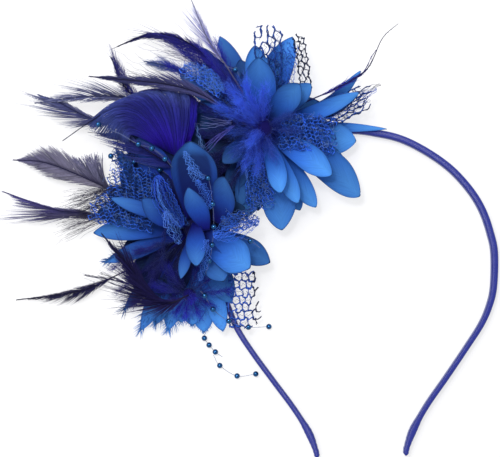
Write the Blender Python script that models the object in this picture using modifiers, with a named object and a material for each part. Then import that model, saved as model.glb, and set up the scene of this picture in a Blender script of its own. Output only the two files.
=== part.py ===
"""Feather fascinator: two flowers of cut feather petals, marabou fluff, long feathers, coarse net
and strings of small beads, on a narrow satin-covered headband.

It lies on a flat surface, the band on its edge. +X is to the right, +Y up the arch, +Z up.
Lengths in the tables are millimetres in plan, with z above the surface. Angles are degrees.
"""

import math
from collections import namedtuple

import bmesh
import bpy
import numpy as np
from mathutils import Matrix, Vector

MM = 0.001
OBJECT_NAME = "feather_fascinator"
ORIGIN = (0.6, 0.3)  # added to every plan position, so that the box's middle is the origin

# Headband
BAND_APEX = (45.8, 44.0)
BAND_LEAN = 1.65
BAND_HEIGHT = 5.2
BAND_THICKNESS = 3.4  # at the top of the arch
BAND_LEG_THICKNESS = 2.8  # just above the swollen ends
BAND_EDGE = 0.7
BAND_END_THICKNESS = 3.5
BAND_END_LENGTH = 13.0
BAND_STATIONS = 36

# Felt under the flowers
FELT_THICKNESS = 1.6
GAP = 0.35
FELT_BOTTOM = BAND_HEIGHT + GAP
FELT_TOP = FELT_BOTTOM + FELT_THICKNESS

# Flowers
FLOWER_A = (5.3, 43.9)
FLOWER_B = (-24.5, 0.2)
HUB_RADII = (6.0, 5.0, 4.2)  # outer, middle and inner layer
HUB_RISES = (0.0, 5.4, 8.4)  # each layer above the outer one
HUB_THICKNESS = 1.3
HUB_STEM_RADIUS = 2.6
OUTER_HUB_Z = FELT_TOP + GAP
PETAL_THICKNESS = 1.0
PETAL_ROOT = 1.6  # how far a petal's root goes into its hub
PETAL_NECK = 0.34  # a petal's width at its root, as a share of its widest
PETAL_TIP = (0.12, 0.22)  # the tip's width as a share, and what a blunt one adds
WIDE_PETAL = 12.0  # wider petals get the finer grid

# Net
NET_BAR = 0.9
NET_STEPS = 24
NET_WAVES_ACROSS = 1.3

# Beads
BEAD_DIAMETER = 2.5
BEAD_SIDES, BEAD_RINGS = 10, 5
THREAD_DIAMETER = 0.6

# Feathers
QUILL_DIAMETER = 1.0
QUILL_TAPER = 0.35
VANE_THICKNESS = 0.7
VANE_FALL = 1.3  # how hollow the vane's outline is towards the tip
BARB_GROUP = 6.5
ROOT_Z = FELT_TOP + GAP + QUILL_DIAMETER / 2

# Marabou locks
LOCK_SIDES = 5
LOCK_ROOT = 0.4  # the root's radius and its depth in the core, as a share of the core's radius
LOCK_TIP_RADIUS = 0.5
LOCK_STEP = 0.12  # every second and third lock is this share shorter
RING_STEP = 0.15  # each steeper ring is this share shorter

# The arch's centre line from its top: how far down, and how far out to either side.
BAND_PROFILE = (  # down, right, left
    (0.0, 0.0, 0.0), (2.0, 12.9, 12.9), (4.6, 22.0, 22.0), (9.2, 31.0, 31.0), (15.4, 40.0, 39.6),
    (21.6, 46.7, 46.0), (30.0, 53.3, 52.4), (38.3, 57.7, 56.6), (47.6, 60.6, 59.2), (56.8, 62.2, 60.5),
    (71.5, 61.5, 59.4), (80.1, 59.4, 57.0), (88.7, 55.4, 53.4), (99.1, 48.3, 47.0), (111.8, 39.2, 38.2),
    (124.1, 30.1, 29.6), (134.4, 23.9, 23.6), (142.4, 20.6, 20.6), (146.4, 19.8, 19.8),
)

FELT_OUTLINE = (  # x, y
    (20.0, 40.0), (14.5, 32.5), (6.0, 25.5), (-2.0, 17.5), (-7.0, 8.5), (-11.0, -3.0), (-14.0, -11.0),
    (-24.0, -13.5), (-35.0, -9.5), (-38.5, 3.0), (-37.0, 19.0), (-34.0, 33.5), (-26.5, 40.5),
    (-14.0, 44.5), (0.0, 50.5), (12.0, 50.5),
)

# A petal: its tip, its widest width and where that is along it, how blunt its tip is, how far its middle
# bows to the left, how far it arches up, how its edges turn up, and how far it is turned on edge.
Petal = namedtuple("Petal", "x y z width widest blunt bow arch cup twist")

FLOWER_A_OUTER = (
    Petal(2.2, 81.1, 12.5, 11.5, 0.65, 0.8, 0, 1, 25, 0),
    Petal(18.9, 85.1, 11.0, 14.3, 0.55, 0.2, 2, 1, 25, 0),
    Petal(49.2, 69.9, 10.5, 6.5, 0.60, 0.2, -5, 0, 30, 45),
    Petal(48.0, 59.4, 10.0, 7.0, 0.60, 0.2, -2, 1, 30, 25),
    Petal(60.2, 47.3, 6.6, 4.5, 0.50, 0.2, 0, 0, 15, 0),
    Petal(47.2, 39.0, 8.6, 14.5, 0.75, 0.9, 0, 1, 20, 0),
    Petal(48.9, 14.4, 10.5, 17.0, 0.70, 0.5, 1, 2, 25, 0),
    Petal(29.3, 9.5, 11.0, 9.5, 0.65, 0.5, 0, 1, 25, 0),
    Petal(22.3, 8.2, 8.4, 10.7, 0.70, 0.6, -1, 0, 20, 0),
    Petal(14.2, -0.7, 10.0, 16.0, 0.70, 0.3, 2, 2, 25, 0),
    Petal(-4.9, 9.6, 10.0, 9.8, 0.60, 0.4, 0, 1, 30, 0),
    Petal(-13.5, 86.2, 3.0, 11.7, 0.60, 0.2, 1, 2, 25, 0),
    Petal(-31.5, 69.1, 1.0, 9.9, 0.60, 0.3, 0, 3, 20, 0),
)
FLOWER_A_MIDDLE = (
    Petal(26.7, 63.3, 22.0, 9.5, 0.70, 0.8, 0, 1, 30, 0),
    Petal(36.0, 23.5, 21.0, 12.4, 0.65, 0.4, 1, 2, 35, 10),
    Petal(21.1, 11.2, 19.0, 8.5, 0.70, 0.6, 0, 1, 30, 0),
    Petal(-12.0, 28.9, 20.0, 9.0, 0.65, 0.6, 0, 1, 30, 0),
)
FLOWER_A_INNER = (
    Petal(3.5, 74.1, 30.0, 15.6, 0.60, 0.7, 0, -1, 35, 0),
    Petal(21.5, 62.7, 30.0, 12.5, 0.65, 0.5, 0, -1, 35, 0),
    Petal(13.5, 15.5, 26.0, 9.2, 0.70, 0.8, 1, -1, 30, 0),
)
FLOWER_B_OUTER = (
    Petal(-61.5, 12.7, 9.0, 6.5, 0.60, 0.2, 0, 4, 30, 20),
    Petal(-69.8, -2.0, 7.0, 9.0, 0.60, 0.2, -1, 4, 30, 15),
    Petal(8.9, -15.1, 10.0, 11.6, 0.70, 0.4, 1, 1, 25, 0),
    Petal(-20.5, -46.4, 1.2, 11.0, 0.75, 0.5, 0, 2, 20, 0),
    Petal(-12.0, -45.6, 7.2, 9.0, 0.75, 0.6, 0, 1, 15, 0),
    Petal(-49.1, -45.7, 0.8, 11.7, 0.65, 0.2, 0, 3, 20, 0),
    Petal(-36.9, -45.7, 0.8, 11.0, 0.65, 0.2, 0, 3, 20, 0),
    Petal(-56.5, -36.5, 0.8, 9.0, 0.60, 0.2, 0, 4, 20, 0),
    Petal(-64.5, -15.0, 6.0, 7.5, 0.60, 0.3, 0, 4, 25, 0),
    Petal(-49.8, 40.3, 10.5, 11.6, 0.65, 0.6, 0, 1, 25, 0),
    Petal(-59.2, 33.5, 9.0, 9.8, 0.60, 0.3, 0, 1, 25, 0),
)
FLOWER_B_MIDDLE = (
    Petal(-27.8, 37.6, 29.0, 19.1, 0.70, 0.9, 0, -1, 60, 0),
    Petal(-30.2, -22.1, 22.0, 6.2, 0.60, 0.2, 0, 1, 40, 20),
    Petal(-11.4, -23.1, 20.0, 11.4, 0.75, 0.8, 0, 2, 30, 0),
    Petal(0.0, -17.3, 22.0, 16.6, 0.70, 0.7, 0, 2, 35, 0),
    Petal(-41.0, 14.3, 23.0, 9.6, 0.60, 0.2, 7, -1, 35, 20),
)
FLOWER_B_INNER = (
    Petal(-26.6, 17.6, 32.0, 10.4, 0.55, 0.2, 0, -1, 45, 0),
    Petal(-11.0, 22.3, 30.0, 11.6, 0.70, 0.9, 0, -1, 20, 0),
    Petal(-23.1, -16.2, 31.0, 9.6, 0.60, 0.7, 0, -1, 40, 0),
)

# A feather: its shaft from the root to the tip, the vane's widest reach to the left and right of it, where
# on the shaft the vane starts, where on the vane it is widest, and how deep its notches are.
Feather = namedtuple("Feather", "name shaft left right start peak notch")
FEATHERS = (
    Feather("feather_black_top", ((2.8, 46.4, 11.2), (-11.0, 67.5, 16.5), (-27.8, 82.3, 15.0),
            (-44.4, 86.3, 11.0), (-62.1, 80.1, 6.0)), 5.0, 3.0, 0.28, 0.25, 0.45),
    Feather("feather_pale_plume", ((4.7, 47.4, 11.2), (-9.5, 70.0, 19.5), (-18.5, 83.2, 19.0),
            (-25.9, 101.0, 14.0)), 4.0, 3.0, 0.40, 0.35, 0.60),
    Feather("feather_slate_upper", ((2.0, 45.0, 11.0), (-20.0, 63.5, 12.2), (-34.7, 71.6, 8.2),
            (-47.3, 74.8, 5.5)), 3.4, 3.0, 0.42, 0.40, 0.55),
    Feather("feather_grey_upper", ((1.8, 43.3, 11.2), (-18.4, 57.2, 20.5), (-35.0, 62.9, 20.5),
            (-57.6, 65.7, 17.0), (-71.1, 67.3, 14.0)), 4.5, 4.0, 0.16, 0.30, 0.50),
    Feather("feather_black_curl", ((-22.5, 36.8, ROOT_Z), (-39.0, 49.5, 12.4), (-54.5, 61.4, 12.4),
            (-61.9, 76.2, 10.0)), 1.6, 3.2, 0.50, 0.35, 0.60),
    Feather("feather_pale_long", ((-27.0, 36.5, ROOT_Z), (-47.5, 54.6, 15.8), (-67.5, 58.4, 14.4),
            (-96.0, 55.8, 9.0)), 3.0, 5.0, 0.42, 0.30, 0.55),
    Feather("feather_slate_low", ((-31.0, 31.5, ROOT_Z), (-53.0, 44.7, 12.5), (-70.8, 48.9, 10.5),
            (-84.3, 55.7, 9.0), (-94.7, 59.8, 7.0)), 5.0, 2.4, 0.36, 0.35, 0.55),
    Feather("feather_broad_blue", ((2.4, 41.7, 10.6), (-13.5, 50.8, 14.0), (-27.0, 57.4, 17.2),
            (-40.0, 60.2, 17.8), (-52.6, 57.6, 18.8), (-69.3, 47.6, 18.8), (-82.7, 38.5, 17.0)),
            20.0, 1.8, 0.26, 0.25, 0.16),
    Feather("feather_dark_thin", ((-30.5, 25.5, ROOT_Z), (-38.0, 29.9, 14.4), (-56.0, 40.2, 15.0),
            (-72.0, 42.7, 12.6)), 3.2, 3.2, 0.40, 0.35, 0.55),
    Feather("feather_violet_upper", ((-33.4, 3.0, ROOT_Z), (-61.1, 16.6, 6.2), (-77.6, 24.3, 6.5),
            (-92.0, 29.5, 6.0), (-106.1, 30.7, 5.0)), 7.0, 8.0, 0.26, 0.35, 0.40),
    Feather("feather_violet_lower", ((-34.3, -1.5, ROOT_Z), (-54.0, 2.8, 5.6), (-72.7, 6.5, 5.0),
            (-87.6, 8.5, 5.0), (-111.1, 16.6, 3.5)), 6.5, 2.6, 0.34, 0.35, 0.45),
    Feather("feather_black_low", ((-34.5, -8.2, ROOT_Z), (-59.6, -20.9, 4.2), (-77.9, -28.5, 3.0),
            (-105.1, -32.1, 2.0)), 4.0, 2.4, 0.36, 0.35, 0.55),
    Feather("feather_black_hackle", ((-27.0, -29.2, 18.3), (-37.3, -30.6, 19.2), (-50.4, -18.2, 20.0),
            (-66.1, -2.0, 15.0)), 4.5, 7.5, 0.10, 0.30, 0.30),
    Feather("feather_fork", ((8.4, 45.5, 11.0), (22.0, 54.5, 16.3), (37.6, 61.5, 17.6), (51.2, 69.9, 18.0),
            (58.5, 84.0, 15.0), (65.8, 91.0, 11.0)), 1.3, 1.3, 0.45, 0.30, 0.45),
)

# A net: its middle line, how wide it is, how many cells along and across, and how deep its ripples are.
Net = namedtuple("Net", "name line width cells ripple turns")
NETS = (
    Net("net_a_top", ((8.0, 62.0, 14.2), (12.5, 76.0, 14.6), (15.0, 90.0, 13.6)), 22.0, (4, 3), 0.9, 1.5),
    Net("net_a_right", ((22.0, 45.5, 14.0), (36.0, 52.0, 14.2), (53.0, 59.5, 13.6)), 13.0, (5, 2), 0.9, 2.5),
    Net("net_a_low", ((6.5, 30.0, 13.4), (5.0, 20.0, 14.6), (7.0, 9.5, 14.6)), 12.0, (3, 2), 0.8, 1.0),
    Net("net_a_left", ((-11.0, 59.5, 15.4), (-20.0, 66.0, 14.8), (-30.0, 71.0, 11.5)), 8.0, (3, 2), 0.8, 1.0),
    Net("net_b_right", ((-12.5, 2.2, 21.6), (-6.0, 5.0, 21.6), (3.0, 8.0, 16.8)), 9.0, (3, 2), 0.8, 1.0),
    Net("net_b_low", ((-6.0, -19.0, 12.5), (-3.5, -31.0, 9.0), (-1.0, -45.0, 5.5)), 14.0, (5, 3), 0.5, 1.0),
    Net("net_b_left", ((-44.0, 8.0, 14.8), (-56.0, 14.0, 14.2), (-67.0, 19.0, 12.4)), 20.0, (3, 3), 1.0, 2.0),
    Net("net_b_fold", ((-31.5, -4.0, 21.0), (-36.0, 8.0, 24.0), (-40.0, 23.5, 25.0)), 7.0, (4, 1), 1.0, 2.0),
)

# A string of beads: the thread's route, and the beads' places along it as points of their own.
BeadString = namedtuple("BeadString", "name thread beads")
BEAD_STRINGS = (
    BeadString("beads_centre", ((-23.5, 24.5, 24.4), (-18.2, 21.8, 30.4), (-16.2, 10.6, 29.0),
               (-15.8, 0.7, 25.0), (-16.5, -7.2, 24.4), (-17.7, -14.2, 24.2), (-19.5, -20.0, 22.0)),
               (1, 2, 3, 4, 5)),
    BeadString("beads_lower", ((-22.0, -27.5, 17.0), (-20.0, -29.6, 16.8), (-16.4, -35.8, 12.0),
               (-9.4, -41.2, 9.6), (-0.7, -44.0, 7.8), (8.5, -44.1, 1.3)), (1, 2, 3, 4, 5)),
    BeadString("beads_hanging", ((-20.4, -47.4, 1.3), (-20.5, -49.3, 1.3), (-18.4, -52.4, 1.3),
               (-15.6, -55.5, 1.3), (-12.4, -57.8, 0.9)), (1, 2, 3)),
    BeadString("beads_to_band", ((-16.4, -57.0, 0.9), (-13.6, -61.6, 1.3), (-5.8, -66.3, 1.3),
               (2.6, -65.4, 1.3)), (1, 2, 3)),
    BeadString("beads_upper", ((-33.6, 26.4, 29.8), (-36.7, 30.1, 31.8), (-42.6, 34.8, 28.4),
               (-48.7, 36.8, 24.6), (-57.0, 41.5, 22.0), (-66.4, 45.6, 21.9)), (1, 2, 3, 5)),
    BeadString("beads_left", ((-36.0, 23.5, 12.0), (-40.0, 26.0, 13.6), (-51.3, 29.6, 14.6),
               (-61.6, 32.1, 13.6)), (1, 2, 3)),
    BeadString("beads_right", ((-6.5, -3.4, 22.5), (0.2, -5.5, 22.6), (4.4, -8.5, 20.6)), (1,)),
    BeadString("bead_top", ((-11.1, 71.4, 21.5), (-6.4, 69.5, 22.0), (-4.4, 66.5, 23.5)), (1,)),
)

# Marabou: its middle, the core's radii, how far the locks reach, the lowest and highest lock's slope.
Marabou = namedtuple("Marabou", "name x y z core reach low high locks")
MARABOU = (
    Marabou("marabou_a", 5.3, 43.9, 22.2, (6.0, 4.6), 18.0, 22, 70, (10, 6)),
    Marabou("marabou_b", -27.0, -29.2, 12.2, (4.0, 3.6), 13.0, 0, 60, (8, 4)),
)

COLOURS = {  # colour, roughness
    "headband": ((0.045, 0.045, 0.36, 1), 0.35),
    "felt_base": ((0.010, 0.010, 0.035, 1), 0.95),
    "petals": ((0.02, 0.12, 0.55, 1), 0.7),
    "marabou": ((0.02, 0.03, 0.45, 1), 0.9),
    "net": ((0.03, 0.10, 0.50, 1), 0.45),
    "beads": ((0.01, 0.04, 0.16, 1), 0.15),
    "dark": ((0.01, 0.01, 0.04, 1), 0.6),
    "blue": ((0.02, 0.03, 0.25, 1), 0.6),
    "grey": ((0.16, 0.16, 0.28, 1), 0.7),
}


def clear_scene():
    for old in list(bpy.data.objects):
        bpy.data.objects.remove(old, do_unlink=True)


def new_collection():
    collection = bpy.data.collections.new(OBJECT_NAME)
    bpy.context.scene.collection.children.link(collection)
    return collection


def material(name):
    found = bpy.data.materials.get(name)
    if found:
        return found
    made = bpy.data.materials.new(name)
    made.use_nodes = True
    colour, roughness = COLOURS[name]
    shader = made.node_tree.nodes["Principled BSDF"]
    shader.inputs["Base Color"].default_value = colour
    shader.inputs["Roughness"].default_value = roughness
    shader.inputs["Metallic"].default_value = 0.0
    return made


def at(x, y, z):
    """A place in the tables' millimetres, in metres about the object's origin."""
    return Vector(((x + ORIGIN[0]) * MM, (y + ORIGIN[1]) * MM, z * MM))


def object_from(bm, name):
    mesh = bpy.data.meshes.new(name)
    bm.to_mesh(mesh)
    bm.free()
    made = bpy.data.objects.new(name, mesh)
    bpy.context.scene.collection.objects.link(made)
    return made


def applied(obj):
    """The object with its modifiers worked into a mesh of its own, facing outwards."""
    graph = bpy.context.evaluated_depsgraph_get()
    graph.update()
    mesh = bpy.data.meshes.new_from_object(obj.evaluated_get(graph))
    made = bpy.data.objects.new(obj.name, mesh)
    made.matrix_world = obj.matrix_world
    bpy.data.objects.remove(obj, do_unlink=True)
    bpy.context.scene.collection.objects.link(made)
    bm = bmesh.new()
    bm.from_mesh(mesh)
    bmesh.ops.remove_doubles(bm, verts=bm.verts, dist=1e-6)
    bmesh.ops.recalc_face_normals(bm, faces=bm.faces)
    bm.to_mesh(mesh)
    bm.free()
    return made


def fused(name, pieces):
    """One solid from overlapping ones."""
    first = pieces[0]
    rest = bpy.data.collections.new(name + "_pieces")
    for piece in pieces[1:]:
        rest.objects.link(piece)
    union = first.modifiers.new("union", "BOOLEAN")
    union.operation = "UNION"
    union.operand_type = "COLLECTION"
    union.collection = rest
    union.solver = "EXACT"
    union.use_self = True
    made = applied(first)
    for piece in pieces[1:]:
        bpy.data.objects.remove(piece, do_unlink=True)
    bpy.data.collections.remove(rest)
    made.name = name
    return made


def finish(obj, name, look, collection):
    """Names a finished node, gives it its material and puts it with the others."""
    obj.name = name
    obj.data.name = name
    obj.data.materials.clear()
    obj.data.materials.append(material(look))
    for owner in list(obj.users_collection):
        owner.objects.unlink(obj)
    collection.objects.link(obj)
    obj.data.shade_smooth()
    obj.data.set_sharp_from_angle(angle=math.radians(50))
    return obj


def smooth_route(points, steps):
    """Points along one smooth curve through the given ones, evenly numbered."""
    points = [Vector(point) for point in points]
    padded = [2 * points[0] - points[1], *points, 2 * points[-1] - points[-2]]
    route = []
    spans = len(points) - 1
    for step in range(steps + 1):
        where = step / steps * spans
        span = min(int(where), spans - 1)
        t = where - span
        a, b, c, d = padded[span : span + 4]
        route.append(0.5 * (2 * b + (c - a) * t + (2 * a - 5 * b + 4 * c - d) * t**2
                            + (3 * b - 3 * c + d - a) * t**3))
    return route


def grid_sheet(name, along, across, place, thickness):
    """A closed sheet whose middle surface is place(u, v), with u from 0 to 1 and v from -1 to 1."""
    bm = bmesh.new()
    bmesh.ops.create_grid(bm, x_segments=along, y_segments=across, size=1.0)
    for vert in bm.verts:
        vert.co = place((vert.co.x + 1) / 2, vert.co.y)
    sheet = object_from(bm, name)
    wall = sheet.modifiers.new("wall", "SOLIDIFY")
    wall.thickness = thickness * MM
    wall.offset = 0
    return applied(sheet)


def petal_place(petal, centre, root_radius, root_z):
    """The middle surface of one petal, which starts inside its hub's rim."""
    ahead = Vector((petal.x - centre[0], petal.y - centre[1], 0)).normalized()
    root = Vector((*centre, root_z)) + ahead * root_radius
    run = Vector((petal.x, petal.y, petal.z)) - root
    left = Vector((-ahead.y, ahead.x, 0))
    cup = math.radians(petal.cup)

    def place(u, v):
        turn = math.radians(petal.twist) * min(1, u * 1.6)
        if u < petal.widest:
            share = PETAL_NECK + (1 - PETAL_NECK) * math.sin(math.pi / 2 * u / petal.widest)
        else:
            past = (u - petal.widest) / (1 - petal.widest)
            share = max(PETAL_TIP[0] + PETAL_TIP[1] * petal.blunt,
                        math.cos(math.pi / 2 * past) ** (1.1 - 0.6 * petal.blunt))
        half = petal.width / 2 * share
        sideways = half * math.sin(cup * v) / cup
        upwards = half * (1 - math.cos(cup * v)) / cup
        back = petal.blunt * 0.35 * half * v * v * u**3
        middle = root + run * u + left * petal.bow * math.sin(math.pi * u)
        middle += Vector((0, 0, petal.arch * math.sin(math.pi * u)))
        across = left * math.cos(turn) + Vector((0, 0, math.sin(turn)))
        normal = Vector((0, 0, math.cos(turn))) - left * math.sin(turn)
        return at(*(middle - ahead * back + across * sideways + normal * upwards))

    return place


def disc(centre, radius, bottom, top, sides=16):
    bm = bmesh.new()
    bmesh.ops.create_cone(bm, cap_ends=True, segments=sides, radius1=radius * MM, radius2=radius * MM,
                          depth=(top - bottom) * MM)
    bmesh.ops.translate(bm, verts=bm.verts, vec=at(*centre, (top + bottom) / 2))
    return object_from(bm, "disc")


def petal_layer(name, centre, petals, hub_z, hub_radius, stem_from, collection):
    """One layer of petals on its hub, with a short stem down to the layer below."""
    pieces = [disc(centre, hub_radius, hub_z, hub_z + HUB_THICKNESS)]
    if stem_from is not None:
        pieces.append(disc(centre, HUB_STEM_RADIUS, stem_from, hub_z + HUB_THICKNESS / 2, 10))
    for petal in petals:
        place = petal_place(petal, centre, hub_radius - PETAL_ROOT, hub_z + HUB_THICKNESS / 2)
        along, across = (5, 4) if petal.width > WIDE_PETAL else (4, 2)
        pieces.append(grid_sheet("petal", along, across, place, PETAL_THICKNESS))
    return finish(fused(name, pieces), name, "petals", collection)


def make_headband(collection):
    """A loft along the arch. Its section is a rounded bar that thins down the legs and swells at both ends."""
    top = Vector((*BAND_APEX, 0))
    lean = math.radians(BAND_LEAN)
    down = Vector((math.sin(lean), -math.cos(lean), 0))
    right = Vector((math.cos(lean), math.sin(lean), 0))
    left_side = [top + down * row[0] - right * row[2] for row in reversed(BAND_PROFILE[1:])]
    right_side = [top + down * row[0] + right * row[1] for row in BAND_PROFILE]
    route = smooth_route(left_side + right_side, BAND_STATIONS)
    lengths = np.cumsum([0] + [(b - a).length for a, b in zip(route, route[1:])])
    bm = bmesh.new()
    rings = []
    for index, point in enumerate(route):
        before, after = route[max(index - 1, 0)], route[min(index + 1, len(route) - 1)]
        side = (after - before).normalized().cross(Vector((0, 0, 1)))
        from_end = min(lengths[index], lengths[-1] - lengths[index])
        swell = math.sin(math.pi * min(from_end / BAND_END_LENGTH, 1)) ** 2
        arch = math.sin(math.pi * lengths[index] / lengths[-1])
        plain = BAND_LEG_THICKNESS + (BAND_THICKNESS - BAND_LEG_THICKNESS) * arch
        half = (plain + (BAND_END_THICKNESS - plain) * swell) / 2
        section = ((half - BAND_EDGE, 0), (half, BAND_EDGE), (half, BAND_HEIGHT - BAND_EDGE),
                   (half - BAND_EDGE, BAND_HEIGHT), (BAND_EDGE - half, BAND_HEIGHT),
                   (-half, BAND_HEIGHT - BAND_EDGE), (-half, BAND_EDGE), (BAND_EDGE - half, 0))
        rings.append([bm.verts.new(at(*(point + side * out + Vector((0, 0, up))))) for out, up in section])
    loft(bm, rings)
    return finish(object_from(bm, "headband"), "headband", "headband", collection)


def loft(bm, rings):
    """Walls between the rings, and both ends closed."""
    for first, second in zip(rings, rings[1:]):
        for index in range(len(first)):
            after = (index + 1) % len(first)
            bm.faces.new((first[index], first[after], second[after], second[index]))
    bm.faces.new(rings[0])
    bm.faces.new(rings[-1])
    bmesh.ops.recalc_face_normals(bm, faces=bm.faces)


def make_felt(collection):
    curve = bpy.data.curves.new("felt", "CURVE")
    curve.dimensions = "2D"
    curve.fill_mode = "BOTH"
    curve.extrude = FELT_THICKNESS / 2 * MM
    spline = curve.splines.new("POLY")
    outline = [at(x, y, 0) for x, y in FELT_OUTLINE]
    spline.points.add(len(outline) - 1)
    for point, where in zip(spline.points, outline):
        point.co = (where.x, where.y, 0, 1)
    spline.use_cyclic_u = True
    felt = bpy.data.objects.new("felt", curve)
    bpy.context.scene.collection.objects.link(felt)
    felt.location.z = (FELT_BOTTOM + FELT_THICKNESS / 2) * MM
    bpy.context.view_layer.update()
    return finish(applied(felt), "felt_base", "felt_base", collection)


def vane_share(feather, u):
    """The vane's reach at a share u of the shaft, next to its widest."""
    past = (u - feather.start) / (1 - feather.start)
    if past <= 0 or u >= 1:
        return 0
    if past < feather.peak:
        return math.sin(math.pi / 2 * past / feather.peak)
    return ((1 - past) / (1 - feather.peak)) ** VANE_FALL


def make_feather(feather, collection):
    """A loft along the shaft: a flat six-sided section, narrow at the quill and wide at the vane."""
    length = sum((Vector(b) - Vector(a)).length for a, b in zip(feather.shaft, feather.shaft[1:]))
    stations = max(9, round(length / BARB_GROUP))
    route = smooth_route(feather.shaft, stations)
    quill = QUILL_DIAMETER / 2
    edge = VANE_THICKNESS / 2
    bm = bmesh.new()
    rings = []
    for index, point in enumerate(route):
        before, after = route[max(index - 1, 0)], route[min(index + 1, stations)]
        ahead = after - before
        left = Vector((-ahead.y, ahead.x, 0)).normalized()
        up = ahead.cross(left).normalized()
        u = index / stations
        ridge = quill * (1 - QUILL_TAPER * u)
        share = vane_share(feather, u) * (1 if index % 2 else 1 - feather.notch)
        reach_left = quill + share * (feather.left - quill)
        reach_right = quill + share * (feather.right - quill)
        section = ((reach_left, edge), (0, ridge + edge / 2), (-reach_right, edge),
                   (-reach_right, -edge), (0, -ridge), (reach_left, -edge))
        rings.append([bm.verts.new(at(*(point + left * out + up * rise))) for out, rise in section])
    loft(bm, rings)
    return finish(object_from(bm, feather.name), feather.name, feather_look(feather.name), collection)


def feather_look(name):
    if "black" in name or "dark" in name:
        return "dark"
    return "blue" if "blue" in name or "fork" in name else "grey"


def make_net(net, collection):
    """A sheet of six-sided cells along the net's middle line, turned into bars."""
    cells_along, cells_across = net.cells
    route = smooth_route(net.line, NET_STEPS)

    def place(u, v):
        where = min(max(u, 0), 1) * NET_STEPS
        index = min(int(where), NET_STEPS - 1)
        point = route[index].lerp(route[index + 1], where - index)
        ahead = route[index + 1] - route[index]
        left = Vector((-ahead.y, ahead.x, 0)).normalized()
        ripple = net.ripple * math.sin(math.pi * 2 * net.turns * u) * math.cos(math.pi * NET_WAVES_ACROSS * v)
        return at(*(point + left * v * net.width / 2 + Vector((0, 0, ripple))))

    bm = bmesh.new()
    corners = {}

    def corner(column, row):
        key = (column, row)
        if key not in corners:
            u = column / (2 * cells_along + 1)
            v = 2 * row / (3 * cells_across + 1) - 1
            corners[key] = bm.verts.new(place(u, v))
        return corners[key]

    for i in range(cells_along):
        for j in range(cells_across):
            column, row = 2 * i + 1 + j % 2, 3 * j + 2
            if column + 1 > 2 * cells_along + 1:
                continue
            ring = ((0, -2), (1, -1), (1, 1), (0, 2), (-1, 1), (-1, -1))
            bm.faces.new([corner(column + a, row + b) for a, b in ring])
    bmesh.ops.recalc_face_normals(bm, faces=bm.faces)
    sheet = object_from(bm, net.name)
    bars = sheet.modifiers.new("bars", "WIREFRAME")
    bars.thickness = NET_BAR * MM
    bars.use_boundary = True
    bars.use_even_offset = False
    bars.offset = 0
    return finish(applied(sheet), net.name, "net", collection)


def make_thread(points):
    curve = bpy.data.curves.new("thread", "CURVE")
    curve.dimensions = "3D"
    curve.bevel_depth = THREAD_DIAMETER / 2 * MM
    curve.bevel_resolution = 0
    curve.use_fill_caps = True
    spline = curve.splines.new("POLY")
    spline.points.add(len(points) - 1)
    for point, where in zip(spline.points, points):
        point.co = (*at(*where), 1)
    thread = bpy.data.objects.new("thread", curve)
    bpy.context.scene.collection.objects.link(thread)
    bpy.context.view_layer.update()
    return applied(thread)


def make_beads(string, collection):
    pieces = [make_thread(smooth_route(string.thread, len(string.thread) + 1))]
    for index in string.beads:
        bm = bmesh.new()
        bmesh.ops.create_uvsphere(bm, u_segments=BEAD_SIDES, v_segments=BEAD_RINGS,
                                  radius=BEAD_DIAMETER / 2 * MM)
        bmesh.ops.translate(bm, verts=bm.verts, vec=at(*string.thread[index]))
        pieces.append(object_from(bm, "bead"))
    return finish(fused(string.name, pieces), string.name, "beads", collection)


def make_marabou(tuft, collection):
    """A round core with tapering locks in rings, each ring steeper than the last."""
    wide, tall = tuft.core
    bm = bmesh.new()
    bmesh.ops.create_uvsphere(bm, u_segments=8, v_segments=5, radius=wide * MM)
    bmesh.ops.scale(bm, verts=bm.verts, vec=(1, 1, tall / wide))
    bmesh.ops.translate(bm, verts=bm.verts, vec=at(tuft.x, tuft.y, tuft.z))
    pieces = [object_from(bm, "core")]
    for ring, count in enumerate(tuft.locks):
        slope = math.radians(tuft.low + (tuft.high - tuft.low) * ring / max(len(tuft.locks) - 1, 1))
        for index in range(count):
            around = 2 * math.pi * (index + 0.5 * ring) / count
            reach = tuft.reach * (1 - LOCK_STEP * (index % 3)) * (1 - RING_STEP * ring)
            ahead = Vector((math.cos(around) * math.cos(slope), math.sin(around) * math.cos(slope),
                            math.sin(slope)))
            bm = bmesh.new()
            bmesh.ops.create_cone(bm, cap_ends=True, segments=LOCK_SIDES, radius1=wide * LOCK_ROOT * MM,
                                  radius2=LOCK_TIP_RADIUS * MM, depth=(reach - wide * LOCK_ROOT) * MM)
            bmesh.ops.translate(bm, verts=bm.verts, vec=(0, 0, (reach + wide * LOCK_ROOT) / 2 * MM))
            turn = ahead.to_track_quat("Z", "Y").to_matrix().to_4x4()
            bmesh.ops.transform(bm, verts=bm.verts, matrix=turn)
            bmesh.ops.transform(bm, verts=bm.verts, matrix=Matrix.Translation(at(tuft.x, tuft.y, tuft.z)))
            pieces.append(object_from(bm, "lock"))
    return finish(fused(tuft.name, pieces), tuft.name, "marabou", collection)


def make_flower(name, centre, layers, collection):
    """Three layers of petals, one above the other, each on a hub with a stem down to the one below."""
    stem_from = None
    for word, petals, radius, rise in zip(("outer", "middle", "inner"), layers, HUB_RADII, HUB_RISES):
        hub_z = OUTER_HUB_Z + rise
        petal_layer(f"{name}_{word}_petals", centre, petals, hub_z, radius, stem_from, collection)
        stem_from = hub_z + HUB_THICKNESS + GAP


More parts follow.
